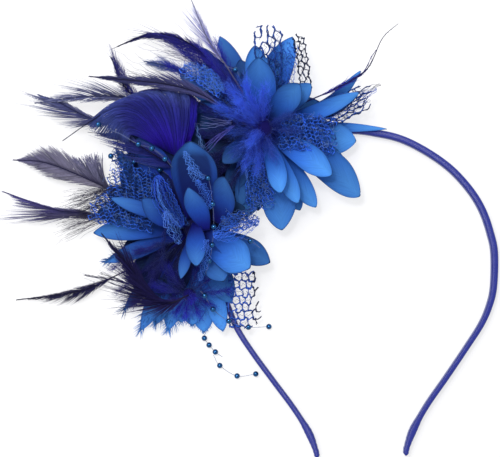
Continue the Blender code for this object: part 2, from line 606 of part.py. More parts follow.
def main():
    clear_scene()
    collection = new_collection()
    make_headband(collection)
    make_felt(collection)
    make_flower("flower_a", FLOWER_A, (FLOWER_A_OUTER, FLOWER_A_MIDDLE, FLOWER_A_INNER), collection)
    make_flower("flower_b", FLOWER_B, (FLOWER_B_OUTER, FLOWER_B_MIDDLE, FLOWER_B_INNER), collection)
    for feather in FEATHERS:
        make_feather(feather, collection)
    for net in NETS:
        make_net(net, collection)
    for string in BEAD_STRINGS:
        make_beads(string, collection)
    for tuft in MARABOU:
        make_marabou(tuft, collection)


main()
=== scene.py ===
"""Looks of the feather fascinator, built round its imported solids.

It lies on a pale floor and is seen from straight above. Places in the tables are millimetres in plan,
with z above the surface, as in the part's own source. Angles are degrees, colours are sRGB out of 255.
"""

import math
from collections import namedtuple
from itertools import starmap

import bpy
import numpy as np
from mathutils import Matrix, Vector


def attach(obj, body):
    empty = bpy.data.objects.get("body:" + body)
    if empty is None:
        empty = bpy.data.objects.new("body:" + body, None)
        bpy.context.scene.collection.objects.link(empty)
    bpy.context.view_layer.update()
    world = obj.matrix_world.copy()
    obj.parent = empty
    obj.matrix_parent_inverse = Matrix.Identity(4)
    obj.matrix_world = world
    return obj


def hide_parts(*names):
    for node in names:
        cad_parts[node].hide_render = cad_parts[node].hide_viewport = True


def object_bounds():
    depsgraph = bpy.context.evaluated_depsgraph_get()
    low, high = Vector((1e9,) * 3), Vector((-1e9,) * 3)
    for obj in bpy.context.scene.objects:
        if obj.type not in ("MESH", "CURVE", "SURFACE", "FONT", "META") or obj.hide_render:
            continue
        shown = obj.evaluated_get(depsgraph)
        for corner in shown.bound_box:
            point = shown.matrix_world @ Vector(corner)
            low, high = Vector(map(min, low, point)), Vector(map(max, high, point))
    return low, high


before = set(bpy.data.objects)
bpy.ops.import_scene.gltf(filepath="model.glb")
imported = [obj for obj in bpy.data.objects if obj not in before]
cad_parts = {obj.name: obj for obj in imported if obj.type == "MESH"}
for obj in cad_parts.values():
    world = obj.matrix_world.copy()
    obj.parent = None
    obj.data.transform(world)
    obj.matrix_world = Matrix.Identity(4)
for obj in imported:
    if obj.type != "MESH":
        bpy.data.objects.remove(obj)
cad_low, cad_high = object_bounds()

MM = 0.001
ORIGIN = (0.6, 0.3)
UP = np.array((0.0, 0.0, 1.0))

# Driving sizes. They are the solids' own, but the band's legs and swollen ends follow the photo closer.
BAND_APEX = (45.8, 44.0)
BAND_LEAN = 1.65
BAND_HEIGHT = 5.2
BAND_THICKNESS = 3.4
BAND_LEG_THICKNESS = 2.6
BAND_LEG_TAPER = (55, 105)  # how far from its ends it thickens towards the top
BAND_END_THICKNESS = 3.5
BAND_END_START = 3.0
BAND_END_LENGTH = 17.0
BAND_END_CLOSING = 1.2
BAND_BINDING, BINDING_PITCH = 0.07, 2.6  # the ribbon's turns round its ends
GLUE_PLACE, GLUE_LENGTH, GLUE_LUMPS = 0.455, 9.0, 0.10  # where glue under the flowers makes it uneven
FELT_BOTTOM = 5.55
FELT_TOP = 7.15
GAP = 0.35
FLOWER_A = (5.3, 43.9)
FLOWER_B = (-24.5, 0.2)
HUB_THICKNESS = 1.3
HUB_RADII = (6.0, 5.0, 4.2)
HUB_LEVELS = (FELT_TOP + GAP, FELT_TOP + GAP + 5.4, FELT_TOP + GAP + 8.4)
STEM_RADIUS = 2.6
STEM_OVERLAP = 0.5
PETAL_ROOT = 1.6
BEAD_DIAMETER = 2.5
THREAD_RADIUS = 0.10
ROOT_Z = FELT_TOP + GAP + 0.5

# The arch's centre line from its top: how far down, and how far out to either side.
BAND_PROFILE = (  # down, right, left
    (0, 0, 0), (2, 12.9, 12.9), (4.6, 22, 22), (9.2, 31, 31), (15.4, 40, 39.6),
    (21.6, 46.7, 46), (30, 53.3, 52.4), (38.3, 57.7, 56.6), (47.6, 60.6, 59.2), (56.8, 62.2, 60.5),
    (71.5, 61.5, 59.4), (80.1, 59.4, 57), (88.7, 55.4, 53.4), (99.1, 48.3, 47), (111.8, 39.2, 38.2),
    (124.1, 30.1, 29.6), (134.4, 23.9, 23.6), (142.4, 20.6, 20.6), (146.4, 19.8, 19.8),
)

FELT_OUTLINE = (  # x, y
    (20, 40), (14.5, 32.5), (6, 25.5), (-2, 17.5), (-7, 8.5), (-11, -3), (-14, -11),
    (-24, -13.5), (-35, -9.5), (-38.5, 3), (-37, 19), (-34, 33.5), (-26.5, 40.5),
    (-14, 44.5), (0, 50.5), (12, 50.5),
)

# A petal: its tip, its widest width and where that is along it, how blunt its tip is, how far its middle
# bows to the left, how far it arches up, how its edges turn up, how far it is turned on edge, its painted
# light and shade as one brightness, how near to royal blue it is, how much painted shadow darkens its cup
# within its rim, how far its barbs part at the tip, and how far its root is moved from its hub.
Petal = namedtuple("Petal", "x y z width widest blunt bow arch cup twist light royal hollow fray root",
                   defaults=(0.0, 0.0, (0.0, 0.0, 0.0)))

FLOWER_A_OUTER = (
    (2.2, 81.1, 12.5, 11.5, 0.65, 0.8, 0, 1, 25, 0, 0.9, 0.1),
    (18.9, 85.1, 11, 14.3, 0.55, 0.3, 2, 1, 25, 0, 1.12, 0.12),
    (49.2, 69.9, 10.5, 7.5, 0.6, 0.2, -5, 0, 30, 30, 0.9, 0.05),
    (48, 59.4, 10, 7, 0.6, 0.2, -2, 1, 30, 25, 1.1, 0),
    (61, 44.4, 6.9, 4.5, 0.5, 0.2, 1, 0, 15, 0, 0.9, 0),
    (47.2, 39, 8.6, 14.5, 0.75, 1, 0, 1, 20, 0, 0.9, 0),
    (48.9, 14.4, 10.5, 15, 0.7, 0.9, 3.5, 2, 25, 0, 0.72, 0),
    (29.3, 9.5, 11, 10, 0.65, 0.9, 0, 1, 25, 0, 0.88, 0),
    (22.3, 8.2, 8.4, 10.7, 0.7, 0.9, -1, 0, 20, 0, 0.8, 0),
    (14.2, -0.7, 10, 16, 0.68, 0.7, 2, 2, 25, 0, 0.75, 0.1),
    (-4.9, 9.6, 10, 9.8, 0.6, 0.6, 0, 1, 30, 0, 0.55, 0.3),
    (-13.5, 86.2, 3, 11.7, 0.6, 0.2, 1, 2, 25, 0, 0.62, 0.3),
    (-31.5, 69.1, 1, 9.9, 0.6, 0.3, 0, 3, 20, 0, 0.85, 0.1),
)
FLOWER_A_MIDDLE = (
    (26.7, 63.3, 22, 9.5, 0.7, 0.8, 0, 1, 30, 0, 0.72, 0.03),
    (36, 23.5, 21, 12.4, 0.65, 0.8, 1, 2, 35, 10, 1, 0),
    (21.1, 11.2, 19, 9, 0.7, 0.9, 0, 1, 30, 0, 0.95, 0),
    (47.9, 59.6, 19, 7.6, 0.6, 0.4, -1, 1, 30, 10, 0.86, 0.03),
    (-12, 28.9, 20, 9, 0.65, 0.6, 0, 1, 30, 0, 0.35, 0.5),
)
FLOWER_A_INNER = (
    (3.5, 74.1, 30, 15.6, 0.6, 0.7, 0, -1, 35, 0, 0.76, 0.16),
    (21.5, 62.7, 30, 12.5, 0.65, 0.5, 0, -1, 35, 0, 0.66, 0.03),
    (13.5, 15.5, 26, 9.4, 0.7, 1, 1, -1, 30, 0, 0.95, 0),
)
FLOWER_B_OUTER = (
    (-61.5, 12.7, 9, 6.5, 0.6, 0.2, 0, 4, 30, 20, 0.8, 0.13),
    (-69.8, -2, 7, 11, 0.6, 0.2, -1, 4, 30, 12, 0.66, 0.23),
    (8.9, -15.1, 10, 11.6, 0.7, 0.4, 1, 1, 25, 0, 0.58, 0.18),
    (-20.5, -46.4, 1.2, 11, 0.8, 0.9, 0, 2, 20, 0, 1.08, 0.05, 0, 1),
    (-12, -45.6, 7.2, 9, 0.75, 0.9, 0, 1, 15, 0, 1.05, 0.05, 0, 0.6),
    (-49.1, -45.7, 0.8, 9, 0.65, 0.2, 0, 3, 20, 0, 1, 0.23, 0, 3.5),
    (-36.9, -45.7, 0.8, 10, 0.65, 0.2, 0, 3, 20, 0, 1.1, 0.13, 0, 3.5),
    (-56.5, -36.5, 0.8, 7, 0.6, 0.2, 0, 4, 20, 0, 0.5, 0.63, 0, 4),
    (-64.5, -15, 6, 7.5, 0.6, 0.3, 0, 4, 25, 0, 0.7, 0.33, 0, 2.5),
    (-49.8, 40.3, 11.5, 14.5, 0.65, 0.8, 0, 1, 25, 0, 0.7, 1),
    (-59.2, 33.5, 9, 9.8, 0.6, 0.3, 0, 1, 25, 0, 0.7, 0.33, 0, 2),
)
FLOWER_B_MIDDLE = (
    (-26, 37.8, 29, 23, 0.68, 1, -1.5, -1, 50, 0, 0.62, 0.48, 0.75),
    (-30.2, -22.1, 22, 6.2, 0.6, 0.3, 0, 1, 40, 20, 0.58, 0.33),
    (-11.4, -23.1, 20, 11.4, 0.75, 0.9, 0, 2, 30, 0, 0.64, 0.28),
    (0, -17.3, 22, 16.6, 0.7, 0.9, 0, 2, 35, 0, 0.88, 0.06),
    (-47.2, 12.8, 25, 9.6, 0.66, 0.3, 3, -1, 35, 20, 0.68, 0.58),
    (-61.3, 13.4, 17.6, 6.6, 0.62, 0.2, 0, 2, 30, 15, 0.62, 0.33),
)
FLOWER_B_INNER = (
    (-26.6, 17.6, 32, 10.6, 0.5, 0.3, 0, -1, 45, 0, 0.78, 0.36, 0, 0, (5.5, -3.6, 1.1)),
    (-11, 22.3, 30, 11.6, 0.66, 1, -2, -1, 25, 0, 0.53, 0.43, 0, 0, (8, 0.4, 0.9)),
    (-23.1, -16.2, 31, 9.8, 0.56, 0.9, 0, -1, 40, 0, 0.68, 0.28, 0, 0, (0.2, 5, 1.1)),
)

# Petals between the others, low in the flowers, which only fill them, most of them dimmed as painted shade.
# They all have the same form.
FILL_FORM = (0, 1, 20, 0)  # bow, arch, cup and twist
FLOWER_A_FILL = (
    (-20, 62, 6.5, 12, 0.6, 0.6, 0.35, 0.5),
    (-28, 54, 6, 12.5, 0.6, 0.7, 0.3, 0.5),
    (-22, 46, 9, 12, 0.6, 0.7, 0.2, 0.4, 0.5),
    (-19, 36, 9, 12, 0.6, 0.7, 0.18, 0.4, 0.5),
    (-14.5, 27, 9, 12, 0.6, 0.7, 0.2, 0.4, 0.5),
    (-10, 16, 10, 11, 0.6, 0.6, 0.4, 0.2, 0.3),
    (-1, 5.5, 9, 13, 0.6, 0.8, 0.5, 0.1),
    (-28, 47, 8, 13, 0.6, 0.7, 0.2, 0.5),
    (31, 56, 11, 13, 0.6, 0.8, 0.6, 0),
    (9.5, 75, 10.5, 12, 0.6, 0.8, 0.65, 0.1),
    (42.5, 29, 9, 12, 0.65, 0.8, 0.65, 0),
    (8, 13, 9, 12, 0.6, 0.8, 0.55, 0.1),
    (3.5, 8, 8.2, 9, 0.6, 0.7, 0.35, 0.2),
    (-13, 73, 7.5, 13, 0.6, 0.7, 0.25, 0.7),
    (-22.5, 73, 6, 13, 0.6, 0.7, 0.25, 0.8),
    (-4.5, 75, 9, 12, 0.6, 0.7, 0.35, 0.6),
    (-22, 81, 5, 9, 0.6, 0.6, 0.28, 0.8),
)
FLOWER_B_FILL = (
    (-58, 25, 8.6, 14, 0.6, 0.7, 0.22, 0.5, 0.4),
    (-64, 17, 8, 13, 0.6, 0.6, 0.2, 0.4, 0.4),
    (-68, 7.5, 7.4, 13, 0.6, 0.5, 0.2, 0.4, 0.4),
    (-62, 3, 7.2, 12, 0.6, 0.5, 0.2, 0.4, 0.4),
    (-47, 33, 9, 13, 0.6, 0.7, 0.25, 0.8, 0.5),
    (-57, -10, 6.5, 13, 0.6, 0.5, 0.16, 0.7, 0.4, 3),
    (-53, -22, 5, 13, 0.6, 0.5, 0.16, 0.8, 0.4, 4),
    (-46.5, -32, 3.5, 11, 0.65, 0.6, 0.3, 0.6, 0.2, 3),
    (-42.5, -43, 2, 8.5, 0.7, 0.7, 1, 0.2, 0, 3),
    (-31, -42, 3, 14, 0.7, 0.8, 1.1, 0.1, 0, 2),
    (-26, -43.5, 2.6, 13, 0.75, 0.8, 1.1, 0, 0, 1.5),
    (-49, -26, 8, 12, 0.6, 0.7, 0.14, 0.8, 0.5, 3),
    (-42.5, -30.5, 7.6, 12, 0.6, 0.7, 0.14, 0.8, 0.5, 3),
    (-35, -30.5, 8.2, 11, 0.6, 0.7, 0.16, 0.8, 0.5, 3),
    (-24, 44, 9, 12, 0.6, 0.7, 0.16, 0.4, 0.5),
    (-55.5, 44.5, 9, 14, 0.6, 0.6, 0.22, 0.8, 0.4),
    (-8.5, -33, 8, 12, 0.65, 0.8, 0.75, 0.1),
    (-2.5, 9.5, 11.5, 13, 0.6, 0.7, 0.2, 0.3, 0.5),
    (-9, 20, 12, 12, 0.6, 0.7, 0.16, 0.3, 0.5),
    (-38, 40, 10.5, 14, 0.6, 0.7, 0.22, 0.9, 0.5),
    (-17, 35, 11.5, 13, 0.6, 0.7, 0.18, 0.5, 0.5),
)

# A feather: its shaft from the root to the tip, the vane's widest reach to the left and right of it, where
# on the shaft the vane starts, where on the vane it is widest, and where the vane stops. Then its looks:
# colours at the vane's start, at its tip and at the barbs' ends, the barbs' spacing, half width and slope,
# how long the barb groups are, how loose they are, its dye, and its number of long hairs.
Feather = namedtuple("Feather", "name shaft left right start peak stop base end fringe spacing barb slope "
                                "group loose dye hairs")
FEATHERS = (
    ("black_top", ((2.8, 46.4, 11.2), (-11, 67.5, 16.5), (-27.8, 82.3, 15), (-44.4, 86.3, 11),
     (-62.1, 80.1, 6)), 7, 1.8, 0.26, 0.2, 0.96, (34, 32, 130), (12, 12, 42), (56, 56, 130), 0.22, 0.15, 24,
     2, 0.5, "dark", 40),
    ("pale_plume", ((4.7, 47.4, 11.2), (-9.5, 70, 19.5), (-18.5, 83.2, 19), (-25.9, 101, 14)), 4, 3, 0.4,
     0.35, 1, (70, 66, 180), (190, 192, 222), (215, 216, 234), 0.42, 0.1, 16, 3, 0.5, "grey", 26),
    ("slate_upper", ((2, 45, 11), (-20, 63.5, 12.2), (-34.7, 71.6, 8.2), (-47.3, 74.8, 5.5)), 3.4, 3, 0.42,
     0.4, 1, (56, 80, 148), (74, 92, 150), (140, 152, 196), 0.18, 0.12, 30, 2, 0.7, "grey", 80),
    ("grey_upper", ((1.8, 43.3, 11.2), (-18.4, 57.2, 20.5), (-35, 62.9, 20.5), (-57.6, 65.7, 17),
     (-71.1, 67.3, 14)), 3.6, 4.2, 0.16, 0.26, 1, (74, 74, 124), (12, 12, 50), (84, 86, 150), 0.2, 0.17, 20,
     4, 0.3, "grey", 44),
    ("black_curl", ((-22.5, 36.8, ROOT_Z), (-39, 49.5, 12.4), (-54.5, 61.4, 12.4), (-61.9, 76.2, 10)), 1.8,
     6.5, 0.42, 0.4, 1, (40, 38, 128), (22, 22, 70), (84, 84, 160), 0.2, 0.12, 28, 2, 0.7, "dark", 40),
    ("pale_long", ((-27, 36.5, ROOT_Z), (-47.5, 54.6, 15.8), (-67.5, 58.4, 14.4), (-96, 55.8, 9)), 3.6, 5.4,
     0.3, 0.34, 1, (60, 60, 110), (96, 102, 150), (180, 184, 206), 0.3, 0.13, 18, 5, 0.4, "grey", 44),
    ("slate_low", ((-31, 31.5, ROOT_Z), (-53, 44.7, 12.5), (-70.8, 48.9, 10.5), (-84.3, 55.7, 9),
     (-94.7, 59.8, 7)), 6.5, 2.4, 0.28, 0.35, 1, (56, 56, 104), (82, 88, 140), (164, 168, 192), 0.2, 0.16,
     22, 4, 0.4, "grey", 30),
    ("broad_blue", ((2.4, 41.7, 10.6), (-13.5, 50.8, 14), (-27, 57.4, 17.2), (-40, 60.2, 17.8),
     (-52.6, 57.6, 18.8), (-69.3, 47.6, 18.8), (-82.7, 38.5, 17)), 20, 1.8, 0.26, 0.25, 1, (34, 20, 120),
     (14, 16, 52), (24, 26, 84), 0.2, 0.2, 24, 9, 0.12, "blue", 6),
    ("dark_thin", ((-30.5, 25.5, ROOT_Z), (-38, 29.9, 14.4), (-56, 40.2, 15), (-72, 42.7, 12.6)), 8.5, 3,
     0.12, 0.36, 0.9, (44, 52, 140), (30, 30, 84), (74, 88, 160), 0.2, 0.15, 26, 3, 0.35, "dark", 18),
    ("violet_upper", ((-33.4, 3, ROOT_Z), (-61.1, 16.6, 6.2), (-77.6, 24.3, 6.5), (-92, 29.5, 6),
     (-106.1, 30.7, 5)), 7, 8, 0.26, 0.35, 1, (124, 120, 138), (66, 62, 104), (150, 148, 168), 0.18, 0.2,
     34, 7, 0.16, "grey", 30),
    ("violet_lower", ((-34.3, -1.5, ROOT_Z), (-54, 2.8, 5.6), (-72.7, 6.5, 5), (-87.6, 8.5, 5),
     (-111.1, 16.6, 3.5)), 6.5, 1.8, 0.34, 0.35, 1, (56, 52, 66), (60, 52, 120), (158, 156, 206), 0.26,
     0.17, 15, 4, 0.4, "grey", 40),
    ("black_low", ((-34.5, -8.2, ROOT_Z), (-59.6, -20.9, 4.2), (-77.9, -28.5, 3), (-105.1, -32.1, 2)), 4,
     2.4, 0.36, 0.35, 1, (26, 24, 70), (16, 15, 46), (92, 90, 120), 0.28, 0.15, 26, 4, 0.5, "dark", 24),
    ("black_hackle", ((-27, -29.2, 18.3), (-35.6, -32.8, 18.8), (-45.2, -28.4, 19.4), (-53.6, -17, 19.4),
     (-65.8, -2, 15)), 6.3, 8, 0.06, 0.34, 1, (26, 22, 70), (12, 11, 34), (40, 32, 124), 0.15, 0.17, 24, 4,
     0.45, "dark", 60),
    ("fork", ((8.4, 45.5, 11), (22, 54.5, 16.3), (37.6, 61.5, 17.6), (51.2, 69.9, 18), (58.5, 84, 15),
     (65.8, 91, 11)), 1.6, 1.4, 0.3, 0.3, 0.66, (40, 34, 170), (30, 28, 90), (60, 56, 150), 0.3, 0.12, 18,
     2, 0.6, "blue", 10),
)

# Barbs that fan from one line to another over a third, their count, half width, looseness and colours.
Fan = namedtuple("Fan", "start middle end count half loose root_colour middle_colour end_colour")
FANS = {
    "broad_blue": (
        (((-31, 31, 13.6), (-34.5, 33, 14), (-40.5, 36, 14.4)),
         ((-26.8, 49.4, 19.6), (-32.5, 51.2, 20.4), (-40.4, 54.7, 20.8), (-48.3, 55, 21),
          (-51.8, 53, 20.6), (-53.2, 47.8, 19.4), (-51.2, 41.6, 17.4)),
         ((-28, 60, 17.4), (-36.9, 60.8, 18), (-50.5, 58.6, 18.8), (-62, 52, 18.9),
          (-70.5, 45.6, 17.4), (-62, 40.2, 16.5), (-53, 37.4, 15.5)),
         760, 0.27, 0.35, (36, 12, 148), (30, 32, 116), (66, 80, 146)),
        (((-27, 35, 13), (-31.5, 36.5, 13.5), (-35, 38, 13.5)),
         ((-24.5, 48, 18), (-28, 50, 19), (-32, 50.5, 19.4)),
         ((-24, 58, 17), (-28, 59.5, 17), (-33.5, 60, 17.4)),
         240, 0.24, 0.45, (44, 12, 150), (34, 24, 160), (22, 18, 92)),
    ),
    "violet_upper": (
        (((-61.5, 17, 6.6), (-66, 19.4, 6.6), (-73, 22.4, 6.8)),
         ((-65, 22.5, 7.2), (-71, 25.5, 7.2), (-78, 27.5, 7.2)),
         ((-66.2, 32.5, 7.4), (-74, 31.6, 7.4), (-83.5, 29.6, 7)),
         150, 0.24, 0.5, (60, 56, 84), (92, 90, 116), (110, 108, 140)),
    ),
}

WHOLE_FANS = ("broad_blue",)  # these feathers' left side is all fan

# A net: its solid, its middle line, width, cells along and across, ripples, the tone of each layer, with
# painted shade on the lower layers, half thickness of its threads, how crumpled it is, how many loose curls
# lie on it, the size it was cut to, the pieces it lies on, how its far end darkens and how much its left
# side is higher.
Net = namedtuple("Net", "name node line width cells ripple turns tones thread crumple curls cut rests_on "
                        "dark slope", defaults=(0.0, 0.0))
NETS = (
    ("veil_a_top", "net_a_top", ((7.5, 63, 13.6), (7.8, 77, 14.4), (7.5, 91, 13.6)), 13, (5, 4), 0.9, 1.5,
     (0.42,), 0.27, 0.5, 4, (20, 34), ("petals_a_outer",)),
    ("veil_a_lattice", None, ((13, 57, 12.8), (14.2, 71, 13.4), (15.2, 83.5, 12.8)), 12, (12, 7), 0.6, 2,
     (0.85,), 0.1, 0.6, 0, (17, 34), ("petals_a_outer",)),
    ("veil_a_edge", None, ((24.6, 60.5, 12.4), (23.2, 74, 12.8), (20.6, 87, 12)), 5.4, (8, 2), 0.4, 1,
     (0.08,), 0.21, 0.55, 0, (10, 34), ("petals_a_outer",)),
    ("veil_a_right", "net_a_right", ((22, 46, 12.6), (36, 51, 12.8), (54.5, 60.5, 13.2)), 11, (9, 5), 0.6,
     2.5, (0.25, 0.6), 0.21, 0.55, 20, (36, 51), ("petals_a_outer",), 0.5, 0),
    ("veil_a_middle", None, ((13, 43, 19.2), (26, 42, 20), (39, 40.5, 15)), 16, (15, 9), 0.8, 1.5,
     (0.6, 1.25), 0.15, 0.6, 70, (40, 61), ("petals_a_middle",)),
    ("veil_a_low", "net_a_low", ((6.5, 30, 13.4), (4, 20, 14.6), (4.5, 8.5, 13.4)), 12, (14, 8), 0.8, 1,
     (0.5, 1.15), 0.13, 0.45, 60, (30, 55), ("petals_a_outer",)),
    ("veil_a_left", "net_a_left", ((-11, 60.5, 17), (-20, 67, 16.4), (-30, 72, 13)), 8.5, (11, 5), 0.8, 1,
     (0.35, 1.7), 0.14, 0.5, 110, (24, 52), ("petals_a_outer",)),
    ("veil_b_right", "net_b_right", ((-12.5, 1.4, 21.6), (-5, 3, 21.6), (3.5, 6, 16.8)), 8, (10, 6), 0.8, 1,
     (0.35, 0.9), 0.14, 0.7, 40, (26, 44), ("petals_b_middle",)),
    ("veil_b_low", "net_b_low", ((-9.5, -31.5, 10), (-2.5, -31.5, 8.6), (4.8, -31.5, 7.2)), 25.5, (4, 7),
     0.5, 1, (0.8,), 0.26, 0.6, 0, (25, 32), ("petals_b_outer",), 0.9, 3.2),
    ("veil_b_left", "net_b_left", ((-41.5, 16, 16), (-51.5, 20, 16.4), (-63.5, 23.5, 13.6)), 15, (14, 10),
     0.9, 2, (0.22, 1), 0.12, 0.7, 40, (38, 53), ("petals_b_outer",)),
    ("veil_b_crumple", None, ((-42, 5, 15.4), (-56, 8, 15), (-71, 10, 12.4)), 14, (15, 9), 0.9, 2,
     (0.2, 1.1), 0.12, 0.7, 40, (38, 53), ("petals_b_outer",)),
    ("veil_b_scrap", None, ((-51.5, 28.5, 15), (-56, 31.5, 15), (-61.5, 35, 14)), 8.5, (4, 3), 0.5, 1,
     (0.2, 0.45), 0.17, 0.4, 3, (16, 25), ("petals_b_outer",)),
    ("veil_b_fold", "net_b_fold", ((-30, 0, 22), (-36, 10, 24), (-40, 22.5, 24.4)), 8, (14, 5), 1, 2,
     (0.15, 0.4), 0.15, 0.35, 20, (26, 46), ("petals_b_middle",)),
)

# A string of beads: its solid, the thread's route, and which of its points hold a bead.
BeadString = namedtuple("BeadString", "name thread beads")
BEAD_STRINGS = (
    ("beads_centre", ((-23.5, 24.5, 24.4), (-18.2, 21.8, 30.4), (-16.2, 10.6, 29), (-15.8, 0.7, 25),
     (-16.5, -7.2, 24.4), (-17.7, -14.2, 24.2), (-19.5, -20, 22)), (1, 2, 3, 4, 5)),
    ("beads_lower", ((-22, -27.5, 17), (-20, -29.6, 16.8), (-16.4, -35.8, 12), (-9.4, -41.2, 9.6),
     (-0.7, -44, 7.8), (8.5, -44.1, 1.3)), (1, 2, 3, 4, 5)),
    ("beads_hanging", ((-20.4, -47.4, 1.3), (-20.5, -49.3, 1.3), (-18.4, -52.4, 1.3), (-15.6, -55.5, 1.3),
     (-12.4, -57.8, 0.9)), (1, 2, 3)),
    ("beads_to_band", ((-16.4, -57, 0.9), (-13.6, -61.6, 1.3), (-5.8, -66.3, 1.3), (2.6, -65.4, 1.3)),
     (1, 2, 3)),
    ("beads_upper", ((-33.6, 26.4, 29.8), (-36.7, 30.1, 31.8), (-42.6, 34.8, 28.4), (-48.7, 36.8, 24.6),
     (-57, 41.5, 22), (-66.4, 45.6, 21.9)), (1, 2, 3, 5)),
    ("beads_left", ((-36, 23.5, 12), (-40, 26, 13.6), (-51.3, 29.6, 14.6), (-61.6, 32.1, 13.6)), (1, 2, 3)),
    ("beads_right", ((-6.5, -3.4, 22.5), (0.2, -5.5, 22.6), (4.4, -8.5, 20.6)), (1,)),
    ("bead_top", ((-11.1, 71.4, 21.5), (-6.4, 69.5, 22), (-4.4, 66.5, 23.5)), (1,)),
)

# A plume of marabou: its root, its tip, how wide it spreads, how many barbs it has, and its painted light
# and shade as one brightness.
Plume = namedtuple("Plume", "root tip spread barbs light")
FLUFF_A_ROOT = (5.3, 43.9, 20)
FLUFF_A = [(FLUFF_A_ROOT, *row) for row in (
    ((-7.5, 58.5, 31), 10, 130, 1),
    ((-1.5, 61, 33), 10, 130, 1.1),
    ((5.5, 59.5, 33), 9, 120, 1),
    ((-12, 52, 28), 9, 110, 0.9),
    ((-4, 53, 35), 9, 130, 1.05),
    ((17.5, 49.5, 28), 6, 80, 0.45),
    ((19, 42.5, 25), 6, 70, 0.4),
    ((-7, 42, 27), 7, 80, 0.5),
    ((-5.5, 34, 26), 9, 90, 0.45),
    ((-2, 28.5, 26), 9, 100, 0.9),
    ((3.5, 27.5, 26), 9, 100, 0.9),
    ((10, 32, 27), 7.5, 80, 0.6),
    ((0, 37, 33), 9, 110, 1),
)]
FLUFF_B_ROOT = (-27, -29.2, 12)
FLUFF_B = [(FLUFF_B_ROOT, *row) for row in (
    ((-38.5, -34, 10), 5.5, 70, 0.7),
    ((-32.5, -36.5, 9.5), 6.5, 60, 1),
    ((-28.5, -37.5, 9), 7, 70, 1),
    ((-23.5, -36.5, 9.5), 7, 60, 0.9),
    ((-17.5, -33.5, 12), 6, 60, 0.6),
    ((-10.5, -27.5, 16), 6.5, 90, 0.5),
    ((-15.5, -20.5, 17), 6, 90, 0.4),
    ((-23, -17, 17), 6, 80, 0.35),
    ((-36, -19, 15), 8, 110, 0.45),
    ((-40, -26, 14), 8.5, 120, 0.5),
    ((-25.5, -31, 17.5), 6.5, 80, 0.8),
)]
FLUFF_UPPER = (
    ((2, 46.5, 11), (-22.5, 81.5, 17.5), 7.5, 150, 0.9),
    ((2, 46.5, 11), (-15, 75, 16), 8.5, 110, 0.7),
    ((-4, 58, 12), (-14.5, 81.5, 15), 6.5, 110, 1),
    ((-10, 60, 12), (-29, 78, 12), 8, 130, 0.8),
    ((-10, 60, 12), (-35, 72, 10), 8.5, 130, 0.9),
    ((2, 46.5, 11), (-11, 63, 16), 8, 120, 0.6),
    ((0, 45.5, 11), (-22, 54, 13), 8.5, 130, 0.5),
    ((0, 43, 11), (-20, 42, 13), 8, 110, 0.35),
    ((0, 42, 11), (-15, 30, 13), 8, 110, 0.3),
    ((-10, 64, 13), (-35, 82.5, 12), 7, 150, 0.95),
)
FLUFF_LEFT = (
    ((-33, -7, 8.6), (-57, -27, 5), 7.5, 150, 0.7),
    ((-33, -8, 8.6), (-51, -33, 5), 7.5, 150, 0.6),
    ((-34, -4, 8.6), (-60, -17, 6), 7, 110, 0.9),
    ((-33, -8, 9.6), (-43, -20, 13), 8, 120, 0.5),
    ((-33, -6, 9.6), (-50, -10, 12), 7, 110, 0.8),
    ((-30, -8, 9.6), (-32, -24, 13), 7, 100, 0.4),
)
# Dark plumes between the flowers, which stand for fluff and for the shade between them.
FLUFF_MIDDLE = (
    ((-2, 38, 9.5), (-20, 42, 13.5), 7, 90, 0.6),
    ((-2, 36, 9.5), (-19, 32, 13.5), 7, 90, 0.5),
    ((-2, 34, 9.5), (-15, 24, 14), 7, 90, 0.6),
    ((-2, 32, 9.5), (-9, 18, 14), 6, 80, 0.6),
    ((-22, 12, 12), (-14, 30, 17), 6, 80, 0.45),
)

# A fluff: its plumes, its colour and its dark colour, which is painted shade towards its plumes' roots, its
# barbules on each barb, the solids that it stands for, and its core's place, radius and half height.
Fluff = namedtuple("Fluff", "name plumes colour dark barbules nodes core", defaults=(10, (), None))
FLUFFS = (
    ("fluff_a", FLUFF_A, (62, 104, 232), (38, 40, 178), 19, ["marabou_a"], (5.3, 43.9, 22.0, 4.6, 3.4)),
    ("fluff_b", FLUFF_B, (46, 40, 206), (26, 18, 120), 10, ["marabou_b"], (-27.0, -29.2, 12.0, 3.0, 2.6)),
    ("fluff_upper", FLUFF_UPPER, (42, 38, 180), (20, 14, 90)),
    ("fluff_left", FLUFF_LEFT, (44, 36, 150), (16, 14, 74)),
    ("fluff_middle", FLUFF_MIDDLE, (36, 36, 130), (10, 10, 50)),
)

